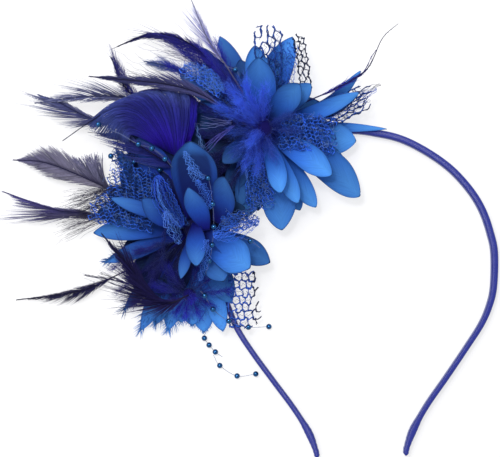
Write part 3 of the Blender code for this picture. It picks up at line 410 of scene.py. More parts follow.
# A bunch of strands: their route, how many, how far they spread, half thickness, how wavy, colour, and for
# those that spread evenly into a lens, as the pleats of a fold do, how many waves they have.
Wisp = namedtuple("Wisp", "route count spread thick wave colour waves", defaults=(0,))
NET_WISPS = (
    (((-28.5, 33.5, 31), (-25.5, 28, 31), (-20, 21.5, 30.6)), 8, 3.4, 0.11, 0.55, (84, 140, 235), 5),
    (((-26.5, 27, 30.8), (-24.5, 24, 30.8), (-22.5, 19.5, 30.4)), 6, 3, 0.1, 0.8, (92, 146, 238), 4),
    (((-23, 21, 31), (-19, 15, 31), (-17, 8.5, 28.5)), 9, 3.8, 0.1, 0.8, (64, 118, 228), 5),
    (((-40.5, 23, 26.4), (-37, 12, 27.8), (-29.5, 1, 25.6)), 14, 9.6, 0.12, 0.4, (44, 88, 214), 6),
    (((-40.7, 21.5, 26.8), (-38.4, 11, 28), (-30.5, 0.5, 26)), 4, 1.2, 0.14, 0.25, (84, 138, 238), 3),
    (((-37, 7.5, 27.4), (-34, 1, 28.2), (-30.6, -6.8, 24.4)), 9, 6, 0.12, 0.7, (92, 142, 240), 4),
    (((-16, -3.4, 25.6), (-6.5, -0.6, 25.4), (4, 3.6, 19.6)), 20, 9, 0.11, 0.5, (60, 116, 230), 5),
    (((-19, -4.8, 26.6), (-19.5, -13, 26.8), (-22, -23, 22)), 8, 3.2, 0.11, 0.8, (70, 122, 230), 6),
    (((-12, 61.5, 18.4), (-20, 67.5, 17.8), (-29.5, 72, 14)), 12, 7, 0.11, 0.9, (84, 140, 235), 7),
    (((24, 46, 15), (38, 52, 15.2), (56, 61.8, 14.6)), 9, 6, 0.13, 0.45, (40, 84, 190), 6),
    (((30, 48.5, 15.2), (42, 54, 15.4), (57.5, 64, 14.4)), 5, 4, 0.13, 0.6, (16, 20, 64), 5),
    (((-24, 46, 14), (-22.5, 40.5, 15), (-20.5, 34.5, 16)), 6, 1.2, 0.09, 0.6, (110, 155, 235)),
    (((-36.5, 2, 22), (-38, -8, 20), (-37, -20.5, 17)), 8, 2.4, 0.12, 0.7, (18, 24, 92)),
    (((-2.5, 31, 17), (-1.5, 24, 17), (-0.5, 17, 15.5)), 4, 0.8, 0.09, 0.4, (96, 142, 230)),
)
BARB_WISPS = (
    (((-7.5, 45, 17), (-13.5, 40.5, 19.5), (-20, 34.5, 19)), 9, 3, 0.12, 0.2, (96, 92, 190)),
    (((-8, 47, 17), (-15, 46.5, 19), (-22, 47, 18)), 6, 3, 0.09, 0.2, (130, 140, 215)),
    (((-58, 18.5, 9), (-68, 15.5, 8.5), (-78.5, 12, 8)), 70, 6, 0.09, 0.3, (60, 58, 84)),
    (((-58, 8, 8), (-69, 5, 7), (-82, 0.5, 5.5)), 60, 6, 0.09, 0.3, (66, 62, 84)),
    (((-58, 13, 8), (-66, 11, 7.4), (-76, 8.5, 6.5)), 40, 4, 0.11, 0.3, (24, 24, 60)),
    (((-30, 62, 14), (-44, 66, 13), (-56, 70.5, 11)), 18, 9, 0.07, 0.5, (20, 20, 66)),
    (((-10, 64, 15), (-24, 75, 15), (-36, 79.5, 12)), 60, 8, 0.08, 0.5, (34, 30, 124)),
    (((-57, -24, 7), (-64, -22.5, 5.5), (-74, -21, 4.5)), 8, 1.2, 0.14, 0.2, (24, 22, 66)),
    (((-54.5, -24.8, 7), (-60.5, -22.5, 6.5), (-67.5, -20.3, 6)), 7, 1, 0.14, 0.2, (24, 22, 66)),
    (((38, 61, 17.6), (49.5, 68.5, 17.5), (53.5, 75.5, 17), (56, 78.8, 16)), 4, 0.5, 0.14, 0.1,
     (34, 32, 110)),
)

# Colours
# The petals' root colour is their dye with painted shade, and PETAL_LIT is painted light.
PETAL_ROOT_DYE_AND_SHADE = (8, 20, 92)
PETAL_MID = (40, 98, 198)
PETAL_LIT = (74, 143, 223)
ROYAL = (26, 24, 172)
# The colour of the painted shadow in a petal's cup.
CUP_SHADOW_COLOUR = (14, 14, 84)
# The hubs and their stems are painted shade, near black at each flower's middle.
HUB_SHADE_COLOUR = (12, 12, 60)
SHAFT_COLOUR = (16, 14, 40)
# The marabou cores are painted shade at the middle of each tuft.
FLUFF_CORE_SHADE = (16, 12, 84)
NET_COLOUR = (46, 96, 204)
NET_DARK = (14, 18, 62)
NET_CURL = (118, 160, 238)
BEAD_COLOUR = (30, 88, 142)
BEAD_RIM = (6, 16, 44)
THREAD_COLOUR = (112, 130, 176)
BAND_COLOUR = (18, 31, 122)
FELT_COLOUR = (10, 10, 40)
FELT_FUZZ = (20, 20, 70)
SHEEN = (150, 180, 255)

# How finely round bodies and routes are made
HUB_SIDES, STEM_SIDES, THREAD_SIDES, SHAFT_SIDES = 28, 16, 6, 6
BEAD_SIDES, BEAD_RINGS, CORE_SIDES, CORE_RINGS = 28, 15, 20, 9
ROUTE_STEPS, THREAD_STEPS, WISP_STEPS, WAVE_STEPS = 40, 10, 12, 5
FRAY_STATIONS, BARB_STATIONS, HAIR_STATIONS, FAN_STATIONS, FLUFF_STATIONS, CURL_STATIONS = 4, 5, 7, 8, 5, 12

# Seeds of the random draws
FELT_SEED, PETAL_SEED, FLUFF_SEED, FEATHER_SEED, NET_SEED, WISP_SEED = 5, 11, 31, 50, 80, 101

# How near to the surface soft strands come, and how far fluff stands above the solids
LOWEST, BARB_LOWEST, HAIR_LOWEST, FLUFF_LOWEST, FLUFF_ABOVE = 0.2, 0.15, 0.12, 0.3, 2


def linear(colour):
    """An sRGB colour out of 255 as linear light."""
    value = np.asarray(colour, float) / 255
    return np.where(value <= 0.04045, value / 12.92, ((value + 0.055) / 1.055) ** 2.4)


def unit(vectors):
    length = np.linalg.norm(vectors, axis=-1, keepdims=True)
    return vectors / np.maximum(length, 1e-9)


def blend(first, second, share):
    share = np.asarray(share)[..., None]
    return first + (second - first) * share


def smooth_step(low, high, value):
    t = np.clip((value - low) / (high - low), 0, 1)
    return t * t * (3 - 2 * t)


def smooth_route(points, steps):
    """Points along one smooth curve through the given ones, evenly numbered."""
    points = np.asarray(points, float)
    padded = np.vstack([2 * points[0] - points[1], points, 2 * points[-1] - points[-2]])
    where = np.linspace(0, len(points) - 1, steps + 1)
    span = np.minimum(where.astype(int), len(points) - 2)
    t = (where - span)[:, None]
    a, b, c, d = (padded[span + k] for k in range(4))
    return 0.5 * (2 * b + (c - a) * t + (2 * a - 5 * b + 4 * c - d) * t**2 + (3 * b - 3 * c + d - a) * t**3)


def on_route(route, u):
    """Places at shares u of the way along a route."""
    where = np.clip(u, 0, 1) * (len(route) - 1)
    return np.stack([np.interp(where, np.arange(len(route)), route[:, axis]) for axis in range(3)], -1)


def heading(route):
    return unit(np.gradient(route, axis=0))


def level_left(ahead):
    """Level vectors to the left of the given ones, as long as those are in plan."""
    return np.stack([-ahead[..., 1], ahead[..., 0], 0 * ahead[..., 0]], -1)


def shares(count):
    """Shares of the way along strands, shaped to go with their paths."""
    return np.linspace(0, 1, count)[None, :, None]


def keep_above(paths, level):
    paths[..., 2] = np.maximum(paths[..., 2], level)


class Shape:
    """Points, colours, grain and faces gathered for one mesh. A face's last number is its material."""

    def __init__(self):
        self.points, self.colours, self.grain, self.quads, self.tris = [], [], [], [], []
        self.count = 0

    def add(self, points, colours, grain, quads, tris=None, slot=0):
        for gathered, values in ((self.points, points), (self.colours, colours), (self.grain, grain)):
            gathered.append(np.broadcast_to(values, points.shape).reshape(-1, 3))
        for gathered, faces in ((self.quads, quads), (self.tris, tris)):
            if faces is not None:
                gathered.append(np.column_stack([faces + self.count, np.full(len(faces), slot)]))
        self.count += len(self.points[-1])

    def mesh(self, name):
        quads = np.concatenate(self.quads)
        tris = np.concatenate(self.tris) if self.tris else np.empty((0, 4), int)
        corners = np.concatenate([quads[:, :4].ravel(), tris[:, :3].ravel()])
        starts = np.concatenate([np.arange(len(quads)) * 4, len(quads) * 4 + np.arange(len(tris)) * 3])
        points = (np.concatenate(self.points) + (*ORIGIN, 0)) * MM
        colours = np.hstack([np.concatenate(self.colours), np.ones((self.count, 1))])
        made = bpy.data.meshes.new(name)
        made.vertices.add(self.count)
        made.vertices.foreach_set("co", points.ravel())
        made.loops.add(len(corners))
        made.loops.foreach_set("vertex_index", corners)
        made.polygons.add(len(starts))
        made.polygons.foreach_set("loop_start", starts)
        made.polygons.foreach_set("material_index", np.concatenate([quads[:, -1], tris[:, -1]]))
        made.update(calc_edges=True)
        colour = made.attributes.new("colour", "FLOAT_COLOR", "POINT")
        colour.data.foreach_set("color", colours.ravel())
        grain = made.attributes.new("grain", "FLOAT_VECTOR", "POINT")
        grain.data.foreach_set("vector", np.concatenate(self.grain).ravel())
        made.shade_smooth()
        return made


def piece(shape, name, materials, nodes=()):
    """One visible piece, which rides on the only body and stands for its solids."""
    made = bpy.data.objects.new(name, shape.mesh(name))
    bpy.context.scene.collection.objects.link(made)
    for look in materials:
        made.data.materials.append(look)
    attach(made, "root")
    if nodes:
        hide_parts(*nodes)
    return made


def tube_quads(count, stations, sides):
    """Side faces of tubes whose points are numbered strand, station, side."""
    start = np.arange(count)[:, None, None] * stations * sides + np.arange(stations - 1)[:, None] * sides
    corner = np.arange(sides)
    a, b = start + corner, start + (corner + 1) % sides
    return np.stack([a, b, b + sides, a + sides], -1).reshape(-1, 4)


def tube_faces(count, stations, sides):
    """Quads and triangles of the same tubes with closed ends. They have three sides or an even number."""
    quads = tube_quads(count, stations, sides)
    first = np.arange(count)[:, None] * stations * sides
    last = first + (stations - 1) * sides
    if sides == 3:
        return quads, np.concatenate([first + (2, 1, 0), last + (0, 1, 2)])
    fans = [(0, k, k + 1, k + 2) for k in range(1, sides - 2, 2)]
    ends = [first + fan[::-1] for fan in fans] + [last + fan for fan in fans]
    return np.concatenate([quads, *ends]), None


STRAND_SHIFT = 0.37  # keeps one strand's grain apart from the next
HAIR_TIP = 0.3


def strands(shape, paths, wide, thick, colours, sides=3, lean=0.0, slot=0, seed=0):
    """Closed strands along paths of shape (strands, stations, 3). They may taper, be flat and lean over."""
    count, stations = paths.shape[:2]
    ahead = unit(np.gradient(paths, axis=1))
    left = np.cross(UP, ahead)
    steep = np.linalg.norm(left, axis=-1, keepdims=True) < 0.05
    left = unit(np.where(steep, (1.0, 0.0, 0.0), left))
    rise = np.cross(ahead, left)
    lean = np.broadcast_to(lean, (count, stations))[..., None]
    left, rise = left * np.cos(lean) + rise * np.sin(lean), rise * np.cos(lean) - left * np.sin(lean)
    turn = (2 * np.pi * np.arange(sides) / sides + (np.pi / 2 if sides == 3 else 0))[:, None]
    wide, thick = (np.broadcast_to(size, (count, stations))[..., None, None] for size in (wide, thick))
    ring = left[:, :, None] * wide * np.cos(turn) + rise[:, :, None] * thick * np.sin(turn)
    points = paths[:, :, None] + ring
    grain = np.zeros(points.shape)
    grain[:, 1:, :, 0] = np.cumsum(np.linalg.norm(np.diff(paths, axis=1), axis=-1), axis=1)[:, :, None]
    grain[..., 1] = (np.arange(count) * STRAND_SHIFT + seed)[:, None, None]
    grain[..., 2] = np.arange(sides) / sides
    colours = np.broadcast_to(colours, (count, stations, 3))[:, :, None]
    shape.add(points, colours, grain, *tube_faces(count, stations, sides), slot)


def hairs(shape, starts, ends, half, colours, rng):
    """Straight flat hairs, one tapering face each, for barbules too fine to be round."""
    across = unit(np.cross(unit(ends - starts), unit(rng.normal(size=starts.shape)))) * half
    tip = across * HAIR_TIP
    points = np.stack([starts - across, starts + across, ends + tip, ends - tip], 1)
    grain = np.zeros(points.shape)
    grain[:, 2:, 0] = 1.0
    grain[..., 1] = (np.arange(len(starts)) * STRAND_SHIFT)[:, None]
    quads = np.arange(len(starts))[:, None] * 4 + np.arange(4)
    shape.add(points, colours[:, None], grain, quads)


def round_body(shape, x, y, heights, radii, colour, sides, slot=0):
    """A closed upright body, round in plan, with one radius at each height."""
    path = np.array([(x, y, z) for z in heights])[None]
    strands(shape, path, radii, radii, linear(colour), sides=sides, slot=slot)


def set_inputs(node, inputs):
    """Sets a node's inputs to values, or links them to the sockets that are given."""
    for key, value in inputs.items():
        if isinstance(value, bpy.types.NodeSocket):
            node.id_data.links.new(value, node.inputs[key])
        else:
            node.inputs[key].default_value = value


def new_material(name):
    made = bpy.data.materials.new(name)
    made.use_nodes = True
    return made, made.node_tree.nodes["Principled BSDF"]


ROUGHNESS_VARIES = 0.08
RELIEF_DEPTH = 0.0002  # metres

# A material: its roughness, its sheen, how strong its streaks are, the scale of its grain, how strong its
# relief is, the scale of its weave, and inputs that differ from plain fibre's. The pearl is a tinted mirror
# that darkens towards its rim.
MATERIALS = {
    "satin": (0.34, 0.10, 0.10, (0.35, 2.5, 1.0), 0.35, 1.1, {"Specular IOR Level": 0.5}),
    "felt": (0.95, 0.2, 0.35, (1.6, 1.6, 1.6), 0.8),
    "petal_feather": (0.75, 0.12, 0.09, (1.4, 1.6, 1.0), 0.15),
    "marabou": (0.85, 0.35, 0.12, (0.6, 1.0, 1.0), 0.0),
    "net": (0.42, 0.08, 0.15, (1.5, 1.0, 1.0), 0.2),
    "dark_feather": (0.50, 0.0, 0.20, (0.8, 1.0, 1.0), 0.15),
    "blue_feather": (0.55, 0.05, 0.18, (0.8, 1.0, 1.0), 0.15),
    "grey_feather": (0.60, 0.08, 0.18, (0.8, 1.0, 1.0), 0.15),
    "pearl": (0.12, 0.0, 0.08, (0.5, 0.5, 2.0), 0.02, 0.0,
              {"Specular IOR Level": 0.5, "Coat Weight": 0.35, "Metallic": 0.85,
               "Specular Tint": (*linear(BEAD_RIM), 1)}),
    "clear_thread": (0.2, 0.0, 0.05, (1.0, 1.0, 1.0), 0.02, 0.0,
                     {"Specular IOR Level": 0.5, "Coat Weight": 0.6, "Transmission Weight": 0.5}),
}


def fibre_material(name, roughness, sheen, streak, scale, bump, weave=0.0, more=None):
    """A dyed fibre: the mesh's own colours, streaked along its grain, with a soft sheen."""
    made, shader = new_material(name)

    def add(kind, output, inputs, **settings):
        """Adds a node and gives its output."""
        node = made.node_tree.nodes.new("ShaderNode" + kind)
        for key, value in settings.items():
            setattr(node, key, value)
        set_inputs(node, inputs)
        return node.outputs[output]

    colour = add("Attribute", "Color", {}, attribute_name="colour")
    grain = add("Attribute", "Vector", {}, attribute_name="grain")
    stretched = add("Mapping", "Vector", {"Vector": grain, "Scale": scale})
    noise = add("TexNoise", "Fac", {"Vector": stretched, "Scale": 1.0, "Detail": 3.0})
    factor = add("MapRange", "Result", {"Value": noise, "From Min": 0.3, "From Max": 0.7,
                                        "To Min": 1 - streak, "To Max": 1 + streak})
    rough = add("MapRange", "Result", {"Value": noise, "To Min": roughness - ROUGHNESS_VARIES,
                                       "To Max": roughness + ROUGHNESS_VARIES})
    height = noise
    if weave:
        size = {"Scale": weave, "Distortion": 0.6}
        bands = add("TexWave", "Fac", {"Vector": grain, **size}, wave_type="BANDS")
        height = add("Math", "Value", {0: bands, 1: 0.5, 2: noise}, operation="MULTIPLY_ADD")
    set_inputs(shader, {
        "Base Color": add("VectorMath", "Vector", {0: colour, "Scale": factor}, operation="SCALE"),
        "Roughness": rough,
        "Normal": add("Bump", "Normal", {"Strength": bump, "Distance": RELIEF_DEPTH, "Height": height}),
        "Specular IOR Level": 0.12,
        "Sheen Weight": sheen,
        "Sheen Roughness": 0.4,
        "Sheen Tint": (*linear(SHEEN), 1),
        "Coat Roughness": 0.12,
        **(more or {}),
    })
    return made


PETAL_ROWS, PETAL_COLUMNS = 24, 15
PETAL_RIM, PETAL_BODY = 0.10, 0.12  # half thickness at the rim, and how much more it is in the middle
PETAL_MARGIN_WAVE, PETAL_RUFFLE, PETAL_GROOVE, PETAL_UNEVEN = 0.025, 0.35, 0.3, 0.25
FRAYED_BARBS, FRAY_RADIUS, FRAY_LENGTHS = 70, 0.17, (0.4, 1.3)


def petal_share(u, widest, blunt):
    """How wide a petal is at each share of its length."""
    rising = 0.34 + 0.66 * np.sin(np.pi / 2 * np.clip(u / widest, 0, 1))
    past = np.clip((u - widest) / (1 - widest), 0, 1)
    falling = np.maximum(1 - past**2, 0.0004) ** (0.85 - 0.35 * blunt)
    return np.where(u < widest, rising, falling)


def petal_tone(petal, u, v):
    """A petal's colours: its dye with painted shade at its root, painted light towards the tip, a painted
    shadow in its cup and painted shade at its margin.
    """
    # Painted shade darkens the root, and painted light brightens the tip and the blade's middle more than
    # its sides.
    tone = blend(linear(PETAL_ROOT_DYE_AND_SHADE), linear(PETAL_MID), smooth_step(0.05, 0.55, u))
    tone = blend(tone, linear(PETAL_LIT), smooth_step(0.4, 0.9, u) * (1 - 0.4 * np.abs(v)))
    tone = blend(tone, linear(ROYAL), petal.royal * (1 - 0.5 * u))
    # A painted shadow in the cup, short of its rim and its tip.
    inside = (1 - smooth_step(0.6, 0.85, np.abs(v))) * (1 - smooth_step(0.80, 0.93, u))
    tone = blend(tone, linear(CUP_SHADOW_COLOUR), petal.hollow * inside)
    # Painted shade at the margin: a soft darkening towards the edge and a thin dark outline at the very
    # edge.
    margin = np.maximum(np.abs(v), smooth_step(0.93, 1.0, u))
    rim = 1 - 0.18 * smooth_step(0.7, 0.95, margin) - 0.5 * (margin > 0.985)
    # The petal's light scales its colour as painted light and shade.
    return tone * (petal.light * rim)[..., None]


def add_petal(shape, petal, centre, hub_radius, hub_z, rng):
    """A thin cupped blade with a rounded edge, a faint groove down its middle and a gently waved margin."""
    ahead = unit(np.array((petal.x - centre[0], petal.y - centre[1], 0.0)))
    left = level_left(ahead)
    root = np.array((*centre, hub_z + HUB_THICKNESS / 2)) + ahead * (hub_radius - PETAL_ROOT) + petal.root
    run = np.array((petal.x, petal.y, petal.z)) - root
    u, v = np.meshgrid(np.sin(np.linspace(0, 1, PETAL_ROWS) * np.pi / 2),
                       np.sin(np.linspace(1, -1, PETAL_COLUMNS) * np.pi / 2), indexing="ij")
    phase = rng.uniform(0, 2 * np.pi, 4)
    waves = np.sin(7 * u + phase[0]) * (v > 0) + np.sin(8 * u + phase[1]) * (v < 0)
    half = petal.width / 2 * petal_share(u, petal.widest, petal.blunt) * (1 + PETAL_MARGIN_WAVE * waves)
    cup = math.radians(petal.cup)
    side = half * np.sin(cup * v) / cup
    rise = half * (1 - np.cos(cup * v)) / cup + PETAL_UNEVEN * np.sin(5 * u + 2 * v + phase[3])
    rise = rise + PETAL_RUFFLE * v**2 * np.sin(9 * u + phase[2]) * u
    rise = rise - PETAL_GROOVE * np.exp(-((v / 0.14) ** 2)) * (1 - u)
    back = petal.blunt * 0.35 * half * v**2 * u**3
    lean = (math.radians(petal.twist) * np.minimum(1, u * 1.6))[..., None]
    across = left * np.cos(lean) + UP * np.sin(lean)
    normal = UP * np.cos(lean) - left * np.sin(lean)
    middle = root + run * u[..., None] + (left * petal.bow + UP * petal.arch) * np.sin(np.pi * u)[..., None]
    points = middle - ahead * back[..., None] + across * side[..., None] + normal * rise[..., None]
    facing = unit(np.cross(np.gradient(points, axis=0), -np.gradient(points, axis=1)))
    wall = (PETAL_RIM + PETAL_BODY * (1 - v**2))[..., None]
    over, under = points + facing * wall, points - facing * wall
    tone = petal_tone(petal, u, v)
    along = (u + 0.3 * np.abs(v)) * np.linalg.norm(run)
    grain = np.stack([along, v * petal.width * 0.12, 0 * u + 7 * phase[0]], -1)
    # The underside gets painted shade: nine tenths of the top's colour.
    ring, colours, grain = (np.concatenate([top, low[:, ::-1]], 1)
                            for top, low in ((over, under), (tone, tone * 0.9), (grain, grain)))
    sides = 2 * PETAL_COLUMNS
    j = np.arange(PETAL_COLUMNS - 1)
    root_end = np.stack([j + 1, j, sides - 1 - j, sides - 2 - j], -1)
    tip_end = root_end[:, ::-1] + (PETAL_ROWS - 1) * sides
    shape.add(ring, colours, grain, np.concatenate([tube_quads(1, PETAL_ROWS, sides), root_end, tip_end]))
    if petal.fray:
        add_fray(shape, petal, over, v, ahead, left, rng)


def add_fray(shape, petal, over, v, ahead, left, rng):
    """Loose barbs that stand out of a petal's outer half."""
    row = rng.integers(PETAL_ROWS // 2, PETAL_ROWS, FRAYED_BARBS)
    column = rng.integers(0, PETAL_COLUMNS, FRAYED_BARBS)
    start = over[row, column] + UP * 0.1
    aim = unit(ahead + left * (0.6 * v[row, column])[:, None] + rng.normal(0, 0.12, start.shape))
    long = petal.fray * rng.uniform(*FRAY_LENGTHS, (FRAYED_BARBS, 1, 1))
    s = shares(FRAY_STATIONS)
    paths = start[:, None] + aim[:, None] * (s * long)
    keep_above(paths, LOWEST)
    taper = FRAY_RADIUS * (1 - 0.8 * s[..., 0])
    # Frayed barbs take the petal's painted-light colour, scaled by its painted light and shade.
    tone = blend(linear(PETAL_LIT), linear(ROYAL), petal.royal * 0.5) * petal.light
    tone = tone * rng.uniform(0.6, 1.1, (FRAYED_BARBS, 1))
    strands(shape, paths, taper, taper * 0.3, tone[:, None])


DISC_PROFILE = (  # share of its height, share of its radius
    (0.0, 0.82), (0.12, 0.96), (0.5, 1.0), (0.88, 0.96), (1.0, 0.82),
)


def add_disc(shape, centre, bottom, top, radius, sides):
    """A low rounded button."""
    up, out = np.array(DISC_PROFILE).T
    # Hubs and stems are coloured as painted shade.
    round_body(shape, *centre, bottom + (top - bottom) * up, radius * out, HUB_SHADE_COLOUR, sides)


def make_petals(name, node, centre, petals, level, look, seed):
    """One layer of petals on its hub, which stands on a stem where it isn't the lowest."""
    rng = np.random.default_rng(seed)
    shape = Shape()
    hub_z, hub_radius = HUB_LEVELS[level], HUB_RADII[level]
    add_disc(shape, centre, hub_z, hub_z + HUB_THICKNESS, hub_radius, HUB_SIDES)
    if level:
        lower_top = HUB_LEVELS[level - 1] + HUB_THICKNESS
        add_disc(shape, centre, lower_top + GAP, hub_z + STEM_OVERLAP, STEM_RADIUS, STEM_SIDES)
    for petal in petals:
        add_petal(shape, petal, centre, hub_radius, hub_z, rng)
    piece(shape, name, [look], [node])


BAND_STEPS, BAND_SIDES = 320, 28
BAND_SQUARENESS = 0.55
# Painted shade along the ribbon's seam: how dark it is, and where round the bar and how wide it is.
SEAM_SHADE, FOLD_PLACE, FOLD_WIDTH = 0.35, np.pi * 0.30, 0.16  # the ribbon's seam, in radians round it


def make_band(look):
    """The ribbon-covered band: a rounded bar that thickens and is bound at both ends."""
    top = np.array((*BAND_APEX, 0.0))
    lean = math.radians(BAND_LEAN)
    down = np.array((math.sin(lean), -math.cos(lean), 0))
    right = np.array((math.cos(lean), math.sin(lean), 0))
    left_side = [top + down * row[0] - right * row[2] for row in reversed(BAND_PROFILE[1:])]
    right_side = [top + down * row[0] + right * row[1] for row in BAND_PROFILE]
    route = smooth_route(left_side + right_side, BAND_STEPS)
    run = np.concatenate([[0], np.cumsum(np.linalg.norm(np.diff(route, axis=0), axis=1))])
    side = np.cross(heading(route), UP)
    from_end = np.minimum(run, run[-1] - run)
    swell = np.sin(np.pi * np.clip((from_end - BAND_END_START) / BAND_END_LENGTH, 0, 1)) ** 2
    thickening = smooth_step(*BAND_LEG_TAPER, from_end)
    plain = BAND_LEG_THICKNESS + (BAND_THICKNESS - BAND_LEG_THICKNESS) * thickening
    half = (plain + (BAND_END_THICKNESS - plain) * swell) / 2
    binding = BAND_BINDING * np.sin(from_end * BINDING_PITCH) * (from_end < BAND_END_LENGTH)
    glued = np.exp(-(((run - run[-1] * GLUE_PLACE) / GLUE_LENGTH) ** 2))
    rough = GLUE_LUMPS * glued * (np.sin(run * 3.1) + np.sin(run * 5.3 + 1.0))
    closing = np.sqrt(np.clip(from_end / BAND_END_CLOSING, 0.04, 1))
    turn = np.linspace(0, 2 * np.pi, BAND_SIDES, endpoint=False)
    box_x, box_z = (np.sign(wave) * np.abs(wave) ** BAND_SQUARENESS
                    for wave in (np.cos(turn), np.sin(turn)))
    width = ((half + binding + rough) * closing)[:, None]
    height = (BAND_HEIGHT / 2 - 0.5 * (1 - closing))[:, None]
    points = (route[:, None] + side[:, None] * (width * box_x)[..., None]
              + UP * (BAND_HEIGHT / 2 + height * box_z)[..., None])
    grain = np.zeros(points.shape)
    grain[..., 0] = run[:, None]
    grain[..., 1] = turn * 2
    # Painted shade along the ribbon's seam.
    fold = 1 - SEAM_SHADE * np.exp(-(((turn - FOLD_PLACE) / FOLD_WIDTH) ** 2))
    # Painted light on the bar's top and painted shade on its underside, a quarter brighter and darker.
    tone = linear(BAND_COLOUR) * ((1 + 0.25 * np.sin(turn)) * fold)[:, None]
    shape = Shape()
    shape.add(points, tone, grain, tube_faces(1, len(route), BAND_SIDES)[0][:, ::-1])
    piece(shape, "band_satin", [look], ["headband"])


FELT_STEPS = 152
FELT_LUMPS = 0.12
FELT_FIBRES, FELT_FIBRE_RADIUS, FELT_FIBRE_SPREAD, FELT_FIBRE_RISE = 900, 0.05, 0.8, 0.7
FELT_RINGS = (  # share of the way out, height
    (0.05, 0.0), (0.6, 0.0), (0.97, 0.0), (1.0, 0.3), (1.0, 0.75), (0.975, 1.0), (0.8, 1.0), (0.4, 1.0),
    (0.05, 1.0),
)


def make_felt(look):
    """The felt patch under the flowers, with a soft edge and loose fibres."""
    rng = np.random.default_rng(FELT_SEED)
    outline = np.array(FELT_OUTLINE)
    closed = smooth_route(np.vstack([outline[-1:], outline, outline[:2]]), FELT_STEPS)
    span = FELT_STEPS / (len(outline) + 2)
    rim = closed[round(span): round(span * (len(outline) + 1))]
    centre = outline.mean(0)
    rings = []
    for out, up in FELT_RINGS:
        flat = centre + (rim - centre) * out
        lumps = FELT_LUMPS * np.sin(flat[:, 0] * 1.3) * np.sin(flat[:, 1] * 1.1) * (up == 1.0)
        rings.append(np.column_stack([flat, FELT_BOTTOM + (FELT_TOP - FELT_BOTTOM) * up + lumps]))
    points = np.array(rings)
    shape = Shape()
    shape.add(points, linear(FELT_COLOUR), points, tube_faces(1, len(points), len(rim))[0][:, ::-1])
    place = rng.uniform(0, 1, (FELT_FIBRES, 2))
    start = centre + (rim[(place[:, 0] * len(rim)).astype(int)] - centre) * np.sqrt(place[:, 1:])
    start = np.column_stack([start, np.full(FELT_FIBRES, FELT_TOP - 0.1)])
    end = start + rng.normal(0, FELT_FIBRE_SPREAD, start.shape) + (0, 0, FELT_FIBRE_RISE)
    strands(shape, np.stack([start, end], 1), FELT_FIBRE_RADIUS, FELT_FIBRE_RADIUS, linear(FELT_FUZZ))
    made = piece(shape, "felt_patch", [look], ["felt_base"])


SHAFT_STEPS = 90
SHAFT_RADII = (0.38, 0.11)  # at the root and at the tip
SHAFT_LIFT = 0.25  # over the vane's own plane
VANE_END = 0.985
BARB_SLOPES = (0.18, 1.3)  # the least and the most, in radians
LEAST_REACH = 0.28
HAIR_SLOPES, HAIR_LENGTHS, HAIR_RADIUS = (14, 50), (5, 12), 0.075


def feather_frame(feather):
    route = smooth_route(feather.shaft, SHAFT_STEPS)
    ahead = heading(route)
    return route, ahead, unit(level_left(ahead))


def add_vane(shape, feather, sign, rng):
    """The barbs on one side of a feather: flat overlapping strands in groups, which lean like shingles."""
    route, ahead, left = feather_frame(feather)
    length = np.linalg.norm(np.diff(route, axis=0), axis=1).sum()
    span = feather.stop - feather.start
    count = int(length * span / feather.spacing)
    spots = np.linspace(0, VANE_END, count) + rng.normal(0, 0.002, count)
    u = feather.start + span * np.clip(spots, 0, 0.99)
    past = (u - feather.start) / span
    share = np.where(past < feather.peak, np.sin(np.pi / 2 * past / feather.peak),
                     ((1 - past) / (1 - feather.peak)) ** 1.3)
    reach = np.maximum(share * (feather.left if sign > 0 else feather.right), LEAST_REACH)
    group = (past * length * (1 - feather.start) / feather.group + rng.uniform(0, 1)).astype(int)
    shift = rng.normal(0, feather.loose, group.max() + 1)[group]
    slope = np.radians(feather.slope * (1.1 - 0.4 * past)) * (1 + 0.3 * shift)
    slope = np.clip(slope + rng.normal(0, 0.02 + 0.12 * feather.loose, count), *BARB_SLOPES)
    uneven = np.clip(1 + rng.normal(0, 0.04 + 0.25 * feather.loose, count), 0.4, 1.5)
    long = np.minimum(reach / np.sin(slope) * uneven, (1.03 - u) * length + 3.0)
    s = np.linspace(0, 1, BARB_STATIONS)[None, :]
    bend = (slope[:, None] * (1.15 - 0.45 * s))[..., None]
    fore, out, over = (on_route(line, u)[:, None] for line in (ahead, left * sign, np.cross(ahead, left)))
    step = (fore * np.cos(bend) + out * np.sin(bend)) * (long / (BARB_STATIONS - 1))[:, None, None]
    step[:, 0] = 0
    lift = (0.10 * np.sin(np.pi * s) - 0.10 * s**2) * long[:, None]
    lift = lift + rng.normal(0, 0.02 + 0.12 * feather.loose, (count, 1)) * s * long[:, None] * 0.5
    paths = on_route(route, u)[:, None] + np.cumsum(step, 1) + over * lift[..., None]
    keep_above(paths, BARB_LOWEST)
    taper = feather.barb * (1 - 0.8 * s**2)
    vary = np.clip(1 + rng.normal(0, 0.22, count), 0.5, 1.7)
    tone = (blend(linear(feather.base), linear(feather.end), past) * vary[:, None])[:, None]
    tone = blend(tone, linear(feather.fringe), 0.75 * s**2 * (0.35 + 0.65 * rng.random((count, 1))))
    lean = sign * rng.normal(-0.35, 0.18, (count, 1))
    strands(shape, paths, taper, taper * 0.3 + 0.02, tone, lean=lean)


def add_shaft(shape, feather):
    route = feather_frame(feather)[0][None] + UP * SHAFT_LIFT
    share = np.linspace(0, 1, route.shape[1])[None]
    radius = (SHAFT_RADII[0] - SHAFT_RADII[1]) * (1 - share) + SHAFT_RADII[1]
    far = linear(SHAFT_COLOUR) + linear(feather.end) * 0.22
    tone = blend(linear(feather.base) * 0.4, far, smooth_step(0.0, 0.5, share))
    strands(shape, route, radius, radius, tone, sides=SHAFT_SIDES)


